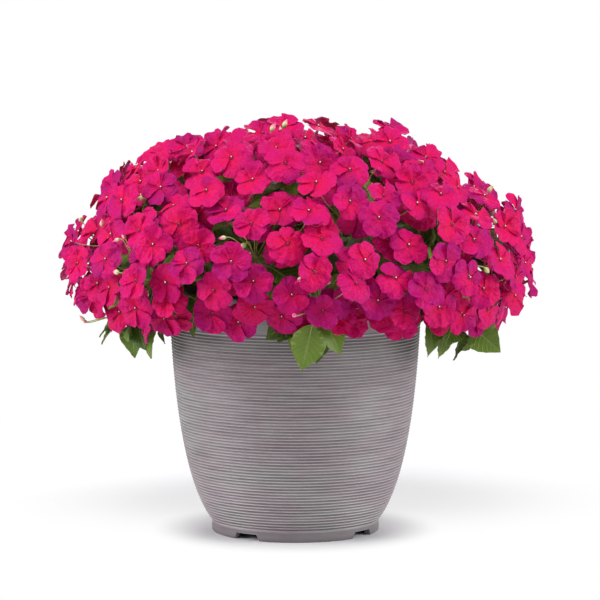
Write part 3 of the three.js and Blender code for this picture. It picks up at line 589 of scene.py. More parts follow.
def leaf_blade(leaf, rows, columns):
    """A thin closed blade: its upper side and its underside share their scalloped edge."""
    share = np.linspace(0, 1, rows)[:, None]
    aside = columns[None, :]
    out = np.abs(aside)
    length, half = LEAF_LENGTH * leaf["size"], LEAF_HALF_WIDTH * leaf["size"] * leaf["broad"]
    teeth = 1 + LEAF_TEETH * (np.arange(rows)[:, None] % 2 - 0.5) * (out == 1)
    width = np.sin(math.pi * share ** LEAF_SHAPE) * half * teeth
    width[0] = LEAF_BASE
    phase = 3 * draw(LEAF, leaf["seed"], 5, 6)
    arch = length * share * (LEAF_ARCH - LEAF_DROOP * share)
    fold = LEAF_FOLD * out ** 1.3 * width
    crest = np.cos(2 * math.pi * (share - LEAF_OUTLINE[0][0]) / WAVE_LENGTH)
    wave = LEAF_WAVE * np.sign(aside) * out ** 2 * crest
    ripple = RIPPLE * out * np.sin(2 * math.pi * (RIPPLE_COUNT * share - RIPPLE_SLANT * out) + phase)
    height = arch + fold + wave + ripple * np.minimum(1, width / RIPPLE_WIDTH)
    sheet = leaf_at(leaf, LEAF_STALK + share * length + 0 * aside, aside * width, height)
    shade = 0.5 + 0.5 * draw(LEAF, leaf["seed"], 5, 7)
    detail = np.stack(np.broadcast_arrays(aside, share, shade), -1)
    return closed_sheet(sheet, leaf["top"] * LEAF_THICKNESS, detail)


def closed_sheet(sheet, thickness, detail):
    """The upper face and underside of a thin sheet, which share its edge: two parts of one skin."""
    rows, columns = sheet.shape[:2]
    upper = np.arange(rows * columns).reshape(rows, columns)
    inner_rows, inner_columns = slice(1, rows - 1), slice(1, columns - 1)
    lower = upper.copy()
    lower[inner_rows, inner_columns] = rows * columns + np.arange(
        (rows - 2) * (columns - 2)).reshape(rows - 2, columns - 2)
    under = (sheet - thickness)[inner_rows, inner_columns]
    points = np.concatenate([sheet.reshape(-1, 3), under.reshape(-1, 3)])
    detail = np.concatenate([detail.reshape(-1, 3), detail[inner_rows, inner_columns].reshape(-1, 3)])
    top_faces = upper.ravel()[grid_faces(rows, columns)]
    under_faces = lower.ravel()[grid_faces(rows, columns)][:, ::-1]
    return points, top_faces, under_faces, detail


def leaf_parts(leaf, rows, columns):
    """The blade, its two sides in their own materials, and its stalk, which runs on as a midrib."""
    points, upper, under, detail = leaf_blade(leaf, rows, columns)
    share = np.linspace(0, 1, 9)
    length = LEAF_LENGTH * leaf["size"]
    along = share * (LEAF_STALK + MIDRIB_REACH * length)
    blade = np.clip((along - LEAF_STALK) / length, 0, 1)
    sag = STALK_SAG * np.sin(math.pi * np.clip(along / LEAF_STALK, 0, 1))
    height = length * blade * (LEAF_ARCH - LEAF_DROOP * blade) - sag - STALK_SINK
    path = leaf_at(leaf, along, 0 * along, height)
    stalk, stalk_faces = tube(path, STALK_RADIUS - STALK_TAPER * share, 5)
    return [(points, [upper, under], [1, 2], detail),
            (stalk, stalk_faces, 0, (0.95, 0.15, 0))]


# Leaf blade: a soft waxy skin with a satin shine. The two sides differ: deep green with paler
# veins above, and a dull grey green with raised veins below. Light shines through it. Its patches
# are 2 cm wide and the cells between its finest veins 1.6 mm. The details of a point are its
# place across and along the blade, and the leaf's own shade.
leaf_skins = []
for name, dark, mid, pale, vein, gloss, veins_sunk in (
        ("waxy_leaf_upper_side", "#3a5412", "#628228", "#97ad4a", "#adbc6a", 0.4, True),
        ("matte_leaf_underside", "#6d823e", "#8a9e52", "#a2b468", "#b8c68a", 0.6, False)):
    skin, tree, where, across, along, tone = material(name, "grown")
    aside = add(tree, "Math", {0: across}, operation="ABSOLUTE")
    back = add(tree, "Math", {0: aside, 1: VEIN_SLANT, 2: along}, operation="MULTIPLY_ADD")
    step = add(tree, "Math", {0: back, 1: SIDE_VEINS}, operation="MULTIPLY")
    saw = add(tree, "Math", {0: step, 1: 0.5}, operation="PINGPONG")
    side_vein = add(tree, "MapRange", {"Value": saw, "From Min": 0.02, "From Max": 0.12,
                                       "To Min": 0.75, "To Max": 0}, interpolation_type="SMOOTHSTEP")
    midrib = add(tree, "MapRange", {"Value": aside, "From Min": 0.03, "From Max": 0.1,
                                    "To Min": 1, "To Max": 0})
    veins = add(tree, "Math", {0: side_vein, 1: midrib}, operation="MAXIMUM")
    cells = add(tree, "TexVoronoi", {"Vector": where, "Scale": 620})
    patches = add(tree, "TexNoise", {"Vector": where, "Scale": 55, "Detail": 3})
    shade = add(tree, "Math", {0: patches, 1: 0.6, 2: tone}, operation="MULTIPLY_ADD")
    halved = add(tree, "Math", {0: shade, 1: 0.62}, operation="MULTIPLY")
    green = add(tree, "ValToRGB", {"Fac": halved}, [(0.15, dark), (0.5, mid), (0.95, pale)])
    faded = add(tree, "Math", {0: veins, 1: VEIN_PALENESS}, operation="MULTIPLY")
    veined = add(tree, "Mix", {"Factor": faded, "A": green, "B": linear(vein)}, data_type="RGBA")
    relief = add(tree, "Math", {0: cells, 1: 0.3, 2: veins}, operation="MULTIPLY_ADD")
    bump = add(tree, "Bump", {"Height": relief, "Strength": 0.6, "Distance": 0.0005}, invert=veins_sunk)
    blade = add(tree, "BsdfPrincipled", {"Base Color": veined, "Roughness": gloss, "IOR": 1.42,
                                         "Normal": bump})
    glow = add(tree, "BsdfTranslucent", {"Color": veined, "Normal": bump})
    lit = add(tree, "MixShader", {0: 0.32, 1: blade, 2: glow})
    add(tree, "OutputMaterial", {"Surface": lit})
    leaf_skins.append(skin)

for shoot, stem in enumerate(stems):
    parts = [part for leaf in stem["leaves"] for part in leaf_parts(leaf, *full_blade)]
    piece(f"leaves_{shoot + 1:02d}", [stem["tube"], *parts], [stem_skin, *leaf_skins],
          [f"leafy_stem_{shoot + 1:02d}"])


# ---- Flowers ------------------------------------------------------------------------------------
# Flat magenta flowers of five broad petals, which overlap in a ring round a small cream cap of
# anthers. Each hangs on a thin stalk from its spray, with a curved spur of nectar behind it.
BLOOM_COUNT, LOWEST_BLOOM, BLOOM_WAYS, SHAPE_TRIES = 264, -38, 24, 5
BLOOM_RADIUS, BLOOM_SIZE_SPREAD, BLOOM_START = 20.5, 0.07, 0.4
BLOOM_WANDER, WANDER_BY_WAY, BLOOM_LIFT, LIFT_BY_WAY = 0.045, 0.04, 9, 0.7
BLOOM_TILT, BLOOM_NOD, BLOOM_ROLL = 0.5, 0.35, 0.6
ROOT_OVERHEAD, ROOT_FALL, ROOT_SPREAD, ROOT_LOWEST, ROOT_HIGHEST = 0.95, 0.55, 0.25, 0.12, 0.92
TUCKED_COUNT, TUCKED_WAYS, TUCKED_DEPTH, FIRST_TUCKED = 150, 10, 16, 1000
PETALS, PETAL_HALF_ANGLE, PETAL_THICKNESS, BEND_MOST = 5, 24, 0.35, 6
PETAL_RAISED, PETAL_TUCKED, PETAL_TUCKED_REACH, MET_ENOUGH = 2.4, 1.2, 0.94, 8
PETAL_SPREAD, PETAL_FLARE, PETAL_SIZES = 27, 18, (0.92, 0.97, 1, 1, 0.97)
LEAN, SIDE_SHARE, OUTWARD_SHARE, LIGHT_SIDE = 0.24, 0.9, 0.5, np.array([0, -0.8, 0])
FLOWER_REACH, PETAL_RAYS, GLOW_SHARE = 23, 21, 0.3


def bloom_place(bloom, turn, way, sunk=0):
    """A flower's centre, the way it looks, its own two axes, its root and its spray."""
    azimuth = bloom * GOLDEN_ANGLE + BLOOM_START
    spot = mound_point(azimuth, turn)
    apart = [np.linalg.norm(stem["surface"] - spot) for stem in stems]
    spray = int(np.argmin(apart))
    stem = stems[spray]
    wander = BLOOM_WANDER * (1 + WANDER_BY_WAY * way)
    azimuth += wander * draw(BLOOM, bloom, way, 0) / max(0.3, math.cos(turn))
    lower = turn + wander * draw(BLOOM, bloom, way, 1)
    lift = (stem["lift"] + BLOOM_LIFT * draw(BLOOM, bloom, 0, 2)
            + LIFT_BY_WAY * way * draw(BLOOM, bloom, way, 3))
    look = facing(azimuth, lower)
    centre = mound_point(azimuth, lower) + look * (lift - sunk)
    share = (ROOT_OVERHEAD - ROOT_FALL * min(apart[spray] / SHOOT_DEPTH, 1)
             + ROOT_SPREAD * draw(BLOOM, bloom, way, 4))
    share = min(max(share, ROOT_LOWEST), ROOT_HIGHEST)
    root = stem["tip"] + stem["end"] * (FIT_GAP + STALK_LENGTH * share)
    along = unit(root - centre)
    tilt = np.array([draw(BLOOM, bloom, way, purpose) for purpose in (5, 6, 7)])
    look = unit(look - BLOOM_NOD * along + BLOOM_TILT * tilt)
    across = np.cross(UP, look)
    across = across if np.dot(across, across) >= 0.01 else np.array([1, 0, 0])
    across = turned(unit(across), look, BLOOM_ROLL * draw(BLOOM, bloom, 0, 9))
    return {"centre": centre, "look": look, "across": across, "upright": np.cross(look, across),
            "root": root, "size": BLOOM_RADIUS * (1 + BLOOM_SIZE_SPREAD * draw(BLOOM, bloom, 0, 8)),
            "spray": spray, "seed": bloom}


def bloom_at(bloom, reach, angle, height):
    """Points of a flower from their reach, angle from its top petal, and height over its face."""
    return (bloom["centre"] + np.multiply.outer(reach * np.sin(angle), bloom["across"])
            + np.multiply.outer(reach * np.cos(angle), bloom["upright"])
            + np.multiply.outer(height, bloom["look"]))


fine_petal = (np.array([-1, -0.88, -0.68, -0.42, -0.16, 0, 0.16, 0.42, 0.68, 0.88, 1]),
              np.array([0.07, 0.2, 0.37, 0.55, 0.71, 0.85, 0.95, 1]))
plain_petal = (np.linspace(-1, 1, 7), np.array([0.07, 0.3, 0.55, 0.78, 0.93, 1]))
middles = np.arange(PETALS) * 2 * math.pi / PETALS
lowest_corner, highest_corner = (np.array(corner) * 1000 for corner in cad_box)
standing = []


def petal_parts(bloom, seed):
    """The five petals of a flower. Each is a wide notched fan, with one edge over its neighbour
    and one under, a soft fold down its middle, a rippled rim and a bend of its own. A flower that
    looks up or to a side leans its petals outward and to the front."""
    draws = np.random.default_rng([bloom["seed"], seed])
    bloom_tone, bloom_cup = draws.normal(0.45, 0.15), draws.normal(0, 2)
    toward = LIGHT_SIDE + OUTWARD_SHARE * unit(bloom["centre"] * (1, 1, 0))
    lean = LEAN * max(0, bloom["look"][2], SIDE_SHARE * abs(bloom["look"][0])) * bloom["size"]
    across, along = (side.T for side in np.meshgrid(*bloom["grid"], indexing="ij"))
    out = np.abs(across)
    parts = []
    for middle, petal_size in zip(middles, PETAL_SIZES):
        flare = (PETAL_FLARE + draws.normal(0, 1.5)) * np.clip(along / 0.5, 0, 1) ** 0.8
        notch = draws.uniform(0.02, 0.08) * np.exp(-((across - draws.normal(0, 0.1)) / 0.17) ** 2)
        waver = 0.013 * np.sin(5 * across + draws.uniform(0, 6))
        size = petal_size * draws.uniform(0.92, 1.02)
        reach = size * bloom["size"] * (0.99 - 0.33 * out ** 3.2 - notch + waver)
        sunk = -0.8 * (1 - along) ** 2
        overlap = along * (0.5 - 1.4 * across + draws.normal(0, 1.1))
        cup = along ** 2 * (bloom_cup + draws.normal(0, 1.7))
        fold = draws.normal(1.7, 1.3) * along * (out ** 1.3 - 0.4)
        ripple = (draws.uniform(0.4, 1.6) * along ** 2.5
                  * np.sin(math.pi * (2.3 * across + draws.uniform(0, 2))))
        curl = 34 * draws.uniform(0, 1) ** 2 * np.clip(along - 0.7, 0, 1) ** 2
        angle = middle + across * np.radians(PETAL_SPREAD + flare) + draws.normal(0, 0.05)
        faced = (np.sin(angle) * np.dot(toward, bloom["across"])
                 + np.cos(angle) * np.dot(toward, bloom["upright"]))
        height = np.clip(sunk + overlap + cup + fold + ripple - curl, -BEND_MOST, BEND_MOST)
        sheet = bloom_at(bloom, along * reach, angle, height - lean * along * faced)
        tone = np.clip(bloom_tone + draws.normal(0, 0.15), 0, 1)
        detail = np.stack([across, along, tone + 0 * along], -1)
        points, upper, under, detail = closed_sheet(sheet, bloom["look"] * PETAL_THICKNESS, detail)
        parts.append((points, [upper, under], [0, 1], detail))
    return parts


def surface_tree(parts):
    """A search tree over the upper faces of thin sheets."""
    points, faces, base = [], [], 0
    for corners, blocks, _, _ in parts:
        points.append(corners)
        faces.append(blocks[0] + base)
        base += len(corners)
    return BVHTree.FromPolygons(np.concatenate(points).tolist(), np.concatenate(faces).tolist())


def crossings(centre, reach, tree):
    """How many faces of what stands already cross these."""
    reach += FLOWER_REACH
    near = [other for other in standing if np.linalg.norm(other["centre"] - centre) < reach]
    return sum(len(tree.overlap(other["tree"])) for other in near)


def stand(bloom, tries, most=1000):
    """Unfolds a flower in the shape that crosses its neighbours least, and keeps it within the
    plant's reach. It stands only where it crosses them at few enough places."""
    best, chosen = most + 1, None
    for seed in range(tries):
        parts = petal_parts(bloom, seed)
        tree = surface_tree(parts)
        met = crossings(bloom["centre"], bloom["size"], tree)
        if met < best:
            best, chosen = met, (parts, tree)
        if met == 0:
            break
    if not chosen:
        return False
    parts, bloom["tree"] = chosen
    points = np.concatenate([part[0] for part in parts])
    past = np.maximum(points.max(0) - highest_corner, 0) + np.minimum(points.min(0) - lowest_corner, 0)
    bloom["centre"] = bloom["centre"] - past
    bloom["petals"] = [(corners - past, *rest) for corners, *rest in parts]
    standing.append(bloom)
    stems[bloom["spray"]]["blooms"].append(bloom)
    return True


# Each flower of the solids is found as the leaves are, by the corners at the rim of its petals.
gaps_to = [nearest(f"flower_spray_{i + 1:02d}") for i in range(SHOOT_COUNT)]
half = math.radians(PETAL_HALF_ANGLE)
for bloom, turn in enumerate(even_turns(BLOOM_COUNT, LOWEST_BLOOM)):
    best, found = MET_BY_CHANCE, None
    for way in range(BLOOM_WAYS):
        place = bloom_place(bloom, turn, way)
        reach, level = place["size"] + 0 * middles, 0 * middles
        rim = np.concatenate([
            bloom_at(place, reach, middles - half, level + PETAL_RAISED),
            bloom_at(place, PETAL_TUCKED_REACH * reach, middles + half, level - PETAL_TUCKED)])
        met = sum(gaps_to[place["spray"]](corner) < MATCH_GAP for corner in rim)
        if met > best:
            best, found = met, place
        if met > MET_ENOUGH:
            break
    if found:
        found["grid"] = fine_petal
        stand(found, SHAPE_TRIES)

# Younger flowers are tucked in under the first, wherever they find room.
for tucked, turn in enumerate(even_turns(TUCKED_COUNT, LOWEST_BLOOM)):
    for way in range(TUCKED_WAYS):
        place = bloom_place(FIRST_TUCKED + tucked, turn, way, sunk=TUCKED_DEPTH)
        place["grid"] = plain_petal
        if stand(place, 1, most=0):
            break


CAP_RADIUS, CAP_SPREAD, SHED_AGE, SHED_RADIUS = 0.5, 0.12, -0.45, 0.22
SPUR_STEPS, SPUR_SIDES, SPUR_RADIUS, SPUR_MOUTH = 8, 6, 0.38, 1.2
bead, bead_faces = ball_of(1)


def spur_parts(bloom):
    """The cream anther cap, which older flowers have shed to a small tip, the mouth of the throat
    under it, painted dark as the shade inside it, and the spur behind, which starts at that mouth and curls
    back."""
    look, upright = bloom["look"], bloom["upright"]
    age = draw(BLOOM, bloom["seed"], 3, 10)
    size = CAP_RADIUS + CAP_SPREAD * age if age > SHED_AGE else SHED_RADIUS
    cap = bead * size @ np.array([bloom["across"], 1.5 * upright, 1.3 * look])
    parts = [(cap + bloom["centre"] + 0.5 * look + 0.9 * upright, bead_faces, 2, (0, 0, 0.5))]
    throat = bloom["centre"] - look * 0.3 - 0.6 * upright
    bends = [throat, throat - 13 * look + upright, throat - 16 * look - 8 * upright,
             throat - 9 * look - 14 * upright]
    along = np.linspace(0, 1, SPUR_STEPS)
    points, faces = tube(bent(bends, along), SPUR_MOUTH * (1 - along) ** 1.6 + SPUR_RADIUS, SPUR_SIDES)
    # Painted shade: the spur's mouth takes the petals' dark throat colour, for the shade in the opening.
    depth = np.clip(along * 5, 0, 0.9)
    detail = np.stack([0 * along, depth, 0 * along + 0.5], 1).repeat(SPUR_SIDES, 0)
    return parts + [(points, faces, 1, detail)]


# Petal: a velvety, faintly sparkling skin of tiny domed cells over a thin juicy sheet, so light
# glows through it, redder than it shines back. Its base is painted a dark red round the throat,
# painted shade where the throat opens; it is hot magenta round that and purpler at its rim, with
# seven faint darker veins fanning out. Some flowers are redder and some have aged to a violet, in
# clouds of 14 mm, and creases 6 mm apart catch the light. The cells are finer than can show, and
# are drawn 0.7 mm wide. The details of a point are its place across and along the petal, and the
# flower's own tone.
petal_skins = []
# The first colour of each side is the throat's dark red, painted shade where the throat opens.
for name, throat, warm, body, rim_colour, redder, aged in (
        ("velvet_petal_upper_side", "#84062c", "#e6074a", "#dc0768", "#ca0e7e", "#e0074f", "#a0046a"),
        ("satin_petal_underside", "#8a0a34", "#dc4c8c", "#da4a92", "#d455a2", "#dd4a80", "#b84496")):
    skin, tree, where, across, along, tone = material(name, "grown")
    clouds = add(tree, "TexNoise", {"Vector": where, "Scale": 70, "Detail": 3})
    cells = add(tree, "TexVoronoi", {"Vector": where, "Scale": 1500})
    creases = add(tree, "TexNoise", {"Vector": where, "Scale": 170, "Detail": 3})
    bow = add(tree, "Math", {0: along, 1: -0.35, 2: 1.1}, operation="MULTIPLY_ADD")
    fan = add(tree, "Math", {0: across, 1: bow}, operation="MULTIPLY")
    warp = add(tree, "Math", {0: clouds, 1: 0.22, 2: fan}, operation="MULTIPLY_ADD")
    rays = add(tree, "Math", {0: warp, 1: PETAL_RAYS}, operation="MULTIPLY")
    wave = add(tree, "Math", {0: rays}, operation="SINE")
    vein = add(tree, "MapRange", {"Value": wave, "From Min": 0.3, "From Max": 1, "To Min": 0,
                                  "To Max": 0.22})
    outward = add(tree, "Math", {0: clouds, 1: 0.14, 2: along}, operation="MULTIPLY_ADD")
    magenta = add(tree, "ValToRGB", {"Fac": outward},
                  [(0.14, throat), (0.24, warm), (0.6, body), (1, rim_colour)])
    age = add(tree, "Math", {0: clouds, 1: 0.5, 2: tone}, operation="MULTIPLY_ADD")
    aged_colour = add(tree, "ValToRGB", {"Fac": age}, [(0.3, redder), (0.7, body), (1, aged)])
    toned = add(tree, "Mix", {"Factor": 0.6, "A": magenta, "B": aged_colour}, data_type="RGBA")
    # Painted shade: the petal's base takes the throat's dark red, standing for the shade in the opening.
    throat_shade_mask = add(tree, "MapRange", {"Value": outward, "From Min": 0.13, "From Max": 0.21,
                                       "To Min": 1, "To Max": 0})
    throat_shaded = add(tree, "Mix", {"Factor": throat_shade_mask, "A": toned, "B": linear(throat)}, data_type="RGBA")
    veined = add(tree, "Mix", {"Factor": vein, "A": throat_shaded, "B": linear(aged)}, data_type="RGBA")
    relief = add(tree, "Math", {0: cells, 1: 0.25, 2: vein}, operation="MULTIPLY_ADD")
    folds = add(tree, "Bump", {"Height": creases, "Strength": 0.8, "Distance": 0.005})
    bump = add(tree, "Bump", {"Height": relief, "Strength": 0.5, "Distance": 0.0005, "Normal": folds},
               invert=True)
    sheet = add(tree, "BsdfPrincipled", {
        "Base Color": veined, "Roughness": 0.5, "IOR": 1.38, "Specular IOR Level": 0.22,
        "Sheen Weight": 0.06, "Sheen Roughness": 0.4, "Sheen Tint": linear("#ff5aa8"), "Normal": bump})
    juice = add(tree, "Mix", {"Factor": 1, "A": veined, "B": linear("#ffb896")},
                data_type="RGBA", blend_type="MULTIPLY")
    glow = add(tree, "BsdfTranslucent", {"Color": juice, "Normal": bump})
    lit = add(tree, "MixShader", {0: GLOW_SHARE, 1: sheet, 2: glow})
    add(tree, "OutputMaterial", {"Surface": lit})
    petal_skins.append(skin)

# Anther cap: pollen-dusted cream, dull and soft, with a dust of 0.4 mm.
pollen, tree, where = material("pollen_dusted_anthers")
dust = add(tree, "TexNoise", {"Vector": where, "Scale": 2500})
cream = add(tree, "ValToRGB", {"Fac": dust}, [(0.35, "#f0dca6"), (0.6, "#fff3cf")])
dusty = add(tree, "BsdfPrincipled", {"Base Color": cream, "Roughness": 0.8})
add(tree, "OutputMaterial", {"Surface": dusty})

for shoot, stem in enumerate(stems):
    parts = []
    for bloom in stem["blooms"]:
        parts += bloom["petals"] + spur_parts(bloom)
    piece(f"flowers_{shoot + 1:02d}", parts, [*petal_skins, pollen],
          [f"flower_spray_{shoot + 1:02d}"])


# ---- Young leaves -------------------------------------------------------------------------------
# Smaller and broader leaves that crowd round each flower stalk and inside the mound, wherever they
# find room, and hang out below its lowest flowers. They have the same soft, waxy blades.
YOUNG_LEAVES, INNER_LEAVES, EDGE_LEAVES, YOUNG_WAYS, EDGE_WAYS = 9, 6, 6, 8, 24
YOUNG_SIZE, YOUNG_BREADTH, EDGE_SIZE, EDGE_BREADTH = 0.95, 1.12, 0.78, 1.3
EDGE_HANG, EDGE_TWIST, EDGE_HEIGHTS, EDGE_TURN = 1.1, 1.3, (182, 212), 0.15
WALL_ROOM, STALK_END, FIRST_YOUNG = 2.5, 8, 1000
plain_blade = (13, np.array([-1, -0.5, 0, 0.5, 1]))


def clear_of_pot(points):
    """Whether points stay out of the pot's wall, its rim and the soil."""
    out = np.hypot(points[:, 0], points[:, 1])
    outside = out > RIM_RADIUS + WALL_ROOM
    inside = (out < RIM_RADIUS - WALL - WALL_ROOM) & (points[:, 2] > SOIL_LEVEL + WALL_ROOM)
    return np.all(outside | inside | (points[:, 2] > RIM_HEIGHT + WALL_ROOM))


def young_leaf(bends, outward, place, item, turn, way, hang):
    """A young leaf, or with a hang one of the broad, twisted ones at the mound's lower edge."""
    leaf = leaf_place(bends, outward, place, item, turn, way, hang)
    leaf["size"] *= EDGE_SIZE if hang else YOUNG_SIZE
    leaf["broad"] = EDGE_BREADTH if hang else YOUNG_BREADTH
    twist = EDGE_TWIST * draw(LEAF, item, way, 8) if hang else 0
    leaf["top"] = turned(leaf["top"], leaf["run"], twist)
    leaf["across"] = np.cross(leaf["top"], leaf["run"])
    return leaf


for stem in stems:
    for leaf in stem["leaves"]:
        heart = leaf_at(leaf, LEAF_STALK + LEAF_LENGTH / 2, 0, 0)
        standing.append({"centre": heart, "tree": surface_tree(leaf_parts(leaf, *full_blade)[:1])})

for shoot, stem in enumerate(stems):
    tip, end = stem["tip"], stem["end"]
    line = [tip, tip + end * STALK_END, tip + end * (STALK_LENGTH - STALK_END), tip + end * STALK_LENGTH]
    spots = [(line, 0.08 + 0.09 * i, 0) for i in range(YOUNG_LEAVES)]
    spots += [(stem["bends"], 0.8 - 0.05 * i, 0) for i in range(INNER_LEAVES)]
    if stem["turn"] < EDGE_TURN:
        spots += [(line, 0.1 * i + 0.2, EDGE_HANG) for i in range(EDGE_LEAVES)]
    parts = []
    for spot, (bends, place, hang) in enumerate(spots):
        item, turn = FIRST_YOUNG + 40 * shoot + spot, spot % YOUNG_LEAVES + 0.4
        for way in range(EDGE_WAYS if hang else YOUNG_WAYS):
            leaf = young_leaf(bends, stem["outward"], place, item, turn, way, hang)
            if hang and not EDGE_HEIGHTS[0] < leaf_at(leaf, LEAF_LENGTH, 0, 0)[2] < EDGE_HEIGHTS[1]:
                continue
            blade = leaf_parts(leaf, *plain_blade)
            heart = leaf_at(leaf, LEAF_STALK + LEAF_LENGTH / 2, 0, 0)
            tree = surface_tree(blade[:1])
            if clear_of_pot(blade[0][0]) and crossings(heart, LEAF_LENGTH / 2, tree) == 0:
                parts += blade
                standing.append({"centre": heart, "tree": tree})
                break
    piece(f"young_leaves_{shoot + 1:02d}", parts, [stem_skin, *leaf_skins])


# ---- Flower stalks and buds ---------------------------------------------------------------------
# Thread-thin green stalks, one for each flower, and nodding buds that are still furled: green at
# their base, then white and pink where the petals show.
FLOWER_STALK, FLOWER_STALK_FLARE, BUD_STALK, STALK_SIDES = 0.45, 0.35, 0.5, 6
BUDS_PER_SPRAY, BUD_WAYS, BUD_SIDES, BUD_ROOM = 6, 10, 8, 30
BUD_LENGTHS, BUD_PLUMPNESS, BUD_SPREAD, BUD_LIFT = (6, 11), 0.25, 30, 8

# Furled bud: smooth and satiny, greenish white flushed with pink in a mottle of 2.5 mm.
bud_skin, tree, where, flushed, _, _ = material("furled_bud", "grown")
mottle = add(tree, "TexNoise", {"Vector": where, "Scale": 400})
place = add(tree, "Math", {0: mottle, 1: 0.3, 2: flushed}, operation="MULTIPLY_ADD")
flush = add(tree, "ValToRGB", {"Fac": place},
            [(0.2, "#9db35e"), (0.5, "#d3c59a"), (0.8, "#de7c9c"), (1.1, "#d23a7c")])
satin = add(tree, "BsdfPrincipled", {
    "Base Color": flush, "Roughness": 0.45, "Subsurface Weight": 0.3,
    "Subsurface Radius": (0.8, 0.4, 0.5), "Subsurface Scale": 0.002})
add(tree, "OutputMaterial", {"Surface": satin})

along = np.linspace(0, 1, 8)
for shoot, stem in enumerate(stems):
    outward, parts = stem["outward"], []
    for bloom in stem["blooms"]:
        start = bloom["centre"] - bloom["look"] * 1.2
        reach = np.linalg.norm(bloom["root"] - start)
        path = bent([start, start - bloom["look"] * 0.4 * reach, bloom["root"]], along)
        radii = FLOWER_STALK + FLOWER_STALK_FLARE * np.exp(-(along / 0.12) ** 2)
        points, faces = tube(path, radii, STALK_SIDES)
        parts.append((points, faces, 0, (0.8, 0.45, 0)))
    draws = np.random.default_rng(500 + shoot)
    level = unit(np.cross(UP, outward))
    slope = np.cross(outward, level)
    for bud in range(BUDS_PER_SPRAY):
        for way in range(BUD_WAYS):
            angle = draws.uniform(0, 2 * math.pi)
            out = BUD_SPREAD * math.sqrt(draws.uniform(0.05, 1))
            heart = (stem["surface"] + outward * (stem["lift"] - draws.uniform(-BUD_LIFT, BUD_LIFT))
                     + out * (level * math.cos(angle) + slope * math.sin(angle)))
            nod = unit(outward + 0.8 * draws.normal(0, 1, 3) - 0.3 * UP)
            root = stem["tip"] + stem["end"] * STALK_LENGTH * 0.9
            length = draws.uniform(*BUD_LENGTHS)
            base = heart - nod * length / 2
            path = bent([root, (root + base) / 2 + outward * 6, base - nod * 6, base], along)
            stalk, stalk_faces = tube(path, BUD_STALK + 0 * along, STALK_SIDES)
            plump = BUD_PLUMPNESS * length * np.sin(math.pi * np.clip(along, 0.03, 0.985) ** 0.75)
            points, faces = tube(base + np.outer(along * length, nod), plump, BUD_SIDES)
            tree = surface_tree([(points, [faces[0]], 0, 0), (stalk, [stalk_faces[0]], 0, 0)])
            if crossings(heart, BUD_ROOM, tree) == 0:
                blush = np.stack([along * draws.uniform(0.6, 1.3), 0 * along, 0 * along], 1)
                parts += [(stalk, stalk_faces, 0, (0.9, 0.3, 0)),
                          (points, faces, 1, blush.repeat(BUD_SIDES, 0))]
                break
    piece(f"stalks_{shoot + 1:02d}", parts, [stem_skin, bud_skin])


# ---- Studio -------------------------------------------------------------------------------------
# A plain white floor that runs into a white background, soft lamps at both sides and above, and
# a camera far off at the height of the flowers.
ROOM = 6
PAPER_CENTRE, PAPER_FADE, PAPER_LEAST, FOOT_FADE = (0, 0.42, 0), (0.12, 0.5), 0.15, (0.086, 0.15)
DOME_RADIUS, ROOM_LIGHT, AIM_HEIGHT = 0.95 * ROOM, 0.42, 0.26
LAMPS = (("left_lamp", (-2.4, -0.75, 0.95), 1.6, 62), ("right_lamp", (2.4, -0.65, 0.9), 1.6, 57),
         ("top_lamp", (-0.2, -1.1, 2.7), 1.5, 54), ("back_lamp", (0.3, 2.4, 1.7), 1.5, 26))
LENS, SENSOR, CAMERA_PLACE, CAMERA_DIP = 174, 36, (0.0047, -2.9, 0.517), 5.613


def stage_sheet(name, points, faces, finish):
    """A sheet of the studio in its own material."""
    mesh = bpy.data.meshes.new(name)
    mesh.from_pydata(points, [], faces)
    mesh.materials.append(finish)
    sheet = placed(name, mesh)
    return sheet


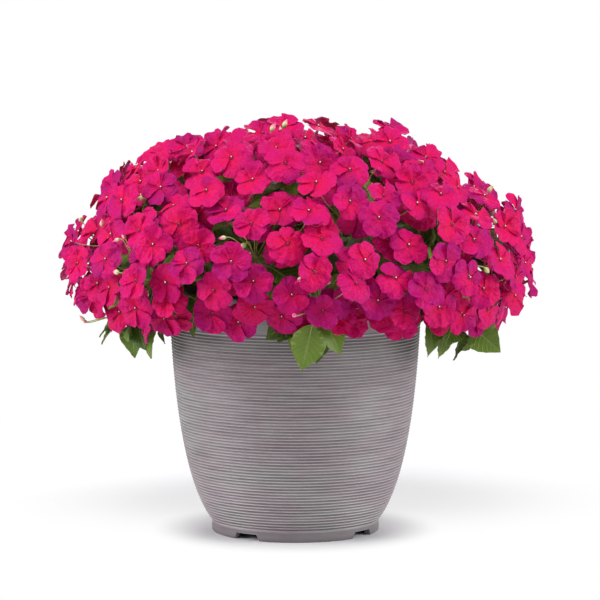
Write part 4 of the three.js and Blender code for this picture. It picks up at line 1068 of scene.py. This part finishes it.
# White paper: it takes light and shade under the pot's foot and in a soft patch behind it, and
# glows plain white elsewhere.
white_floor, tree, where = material("white_paper_floor")
behind = add(tree, "VectorMath", {0: where, 1: PAPER_CENTRE}, operation="DISTANCE")
far = add(tree, "MapRange", {"Value": behind, "From Min": PAPER_FADE[0], "From Max": PAPER_FADE[1],
                             "To Min": PAPER_LEAST}, interpolation_type="SMOOTHSTEP")
under = add(tree, "VectorMath", {0: where}, operation="LENGTH")
clear = add(tree, "MapRange", {"Value": under, "From Min": FOOT_FADE[0], "From Max": FOOT_FADE[1]},
            interpolation_type="SMOOTHSTEP")
white = add(tree, "Math", {0: far, 1: clear}, operation="MULTIPLY")
paper = add(tree, "BsdfDiffuse", {"Color": linear("#dcdcde")})
glow = add(tree, "Emission", {"Strength": 1})
blend = add(tree, "MixShader", {0: white, 1: paper, 2: glow})
add(tree, "OutputMaterial", {"Surface": blend})
stage_sheet("floor", [(-ROOM, -ROOM, 0), (ROOM, -ROOM, 0), (ROOM, ROOM, 0), (-ROOM, ROOM, 0)],
            [(0, 1, 2, 3)], white_floor)

# The white background is a wide dome round the room, which lights nothing.
white_wall, tree, _ = material("white_background")
glow = add(tree, "Emission", {"Strength": 1})
add(tree, "OutputMaterial", {"Surface": glow})
dome_points, dome_faces = ball_of(5)
dome = stage_sheet("background", (dome_points * DOME_RADIUS).tolist(), dome_faces.tolist(), white_wall)
dome.visible_diffuse = dome.visible_glossy = dome.visible_transmission = False
dome.visible_shadow = False

sky = bpy.data.worlds.new("white_room")
sky.use_nodes = True
sky.node_tree.nodes["Background"].inputs["Color"].default_value = linear("#ffffff")
sky.node_tree.nodes["Background"].inputs["Strength"].default_value = ROOM_LIGHT
bpy.context.scene.world = sky
for name, place, size, power in LAMPS:
    lamp = bpy.data.lights.new(name, "AREA")
    lamp.size, lamp.energy = size, power
    stand_at = placed(name, lamp)
    stand_at.location = place
    aim = Vector((0, 0, AIM_HEIGHT)) - stand_at.location
    stand_at.rotation_euler = aim.to_track_quat("-Z", "Y").to_euler()

lens = bpy.data.cameras.new("camera")
lens.lens, lens.sensor_width = LENS, SENSOR
camera = placed("camera", lens)
camera.location = CAMERA_PLACE
camera.rotation_euler = (math.radians(90 - CAMERA_DIP), 0, 0)
bpy.context.scene.camera = camera
bpy.context.scene.view_settings.view_transform = "Standard"
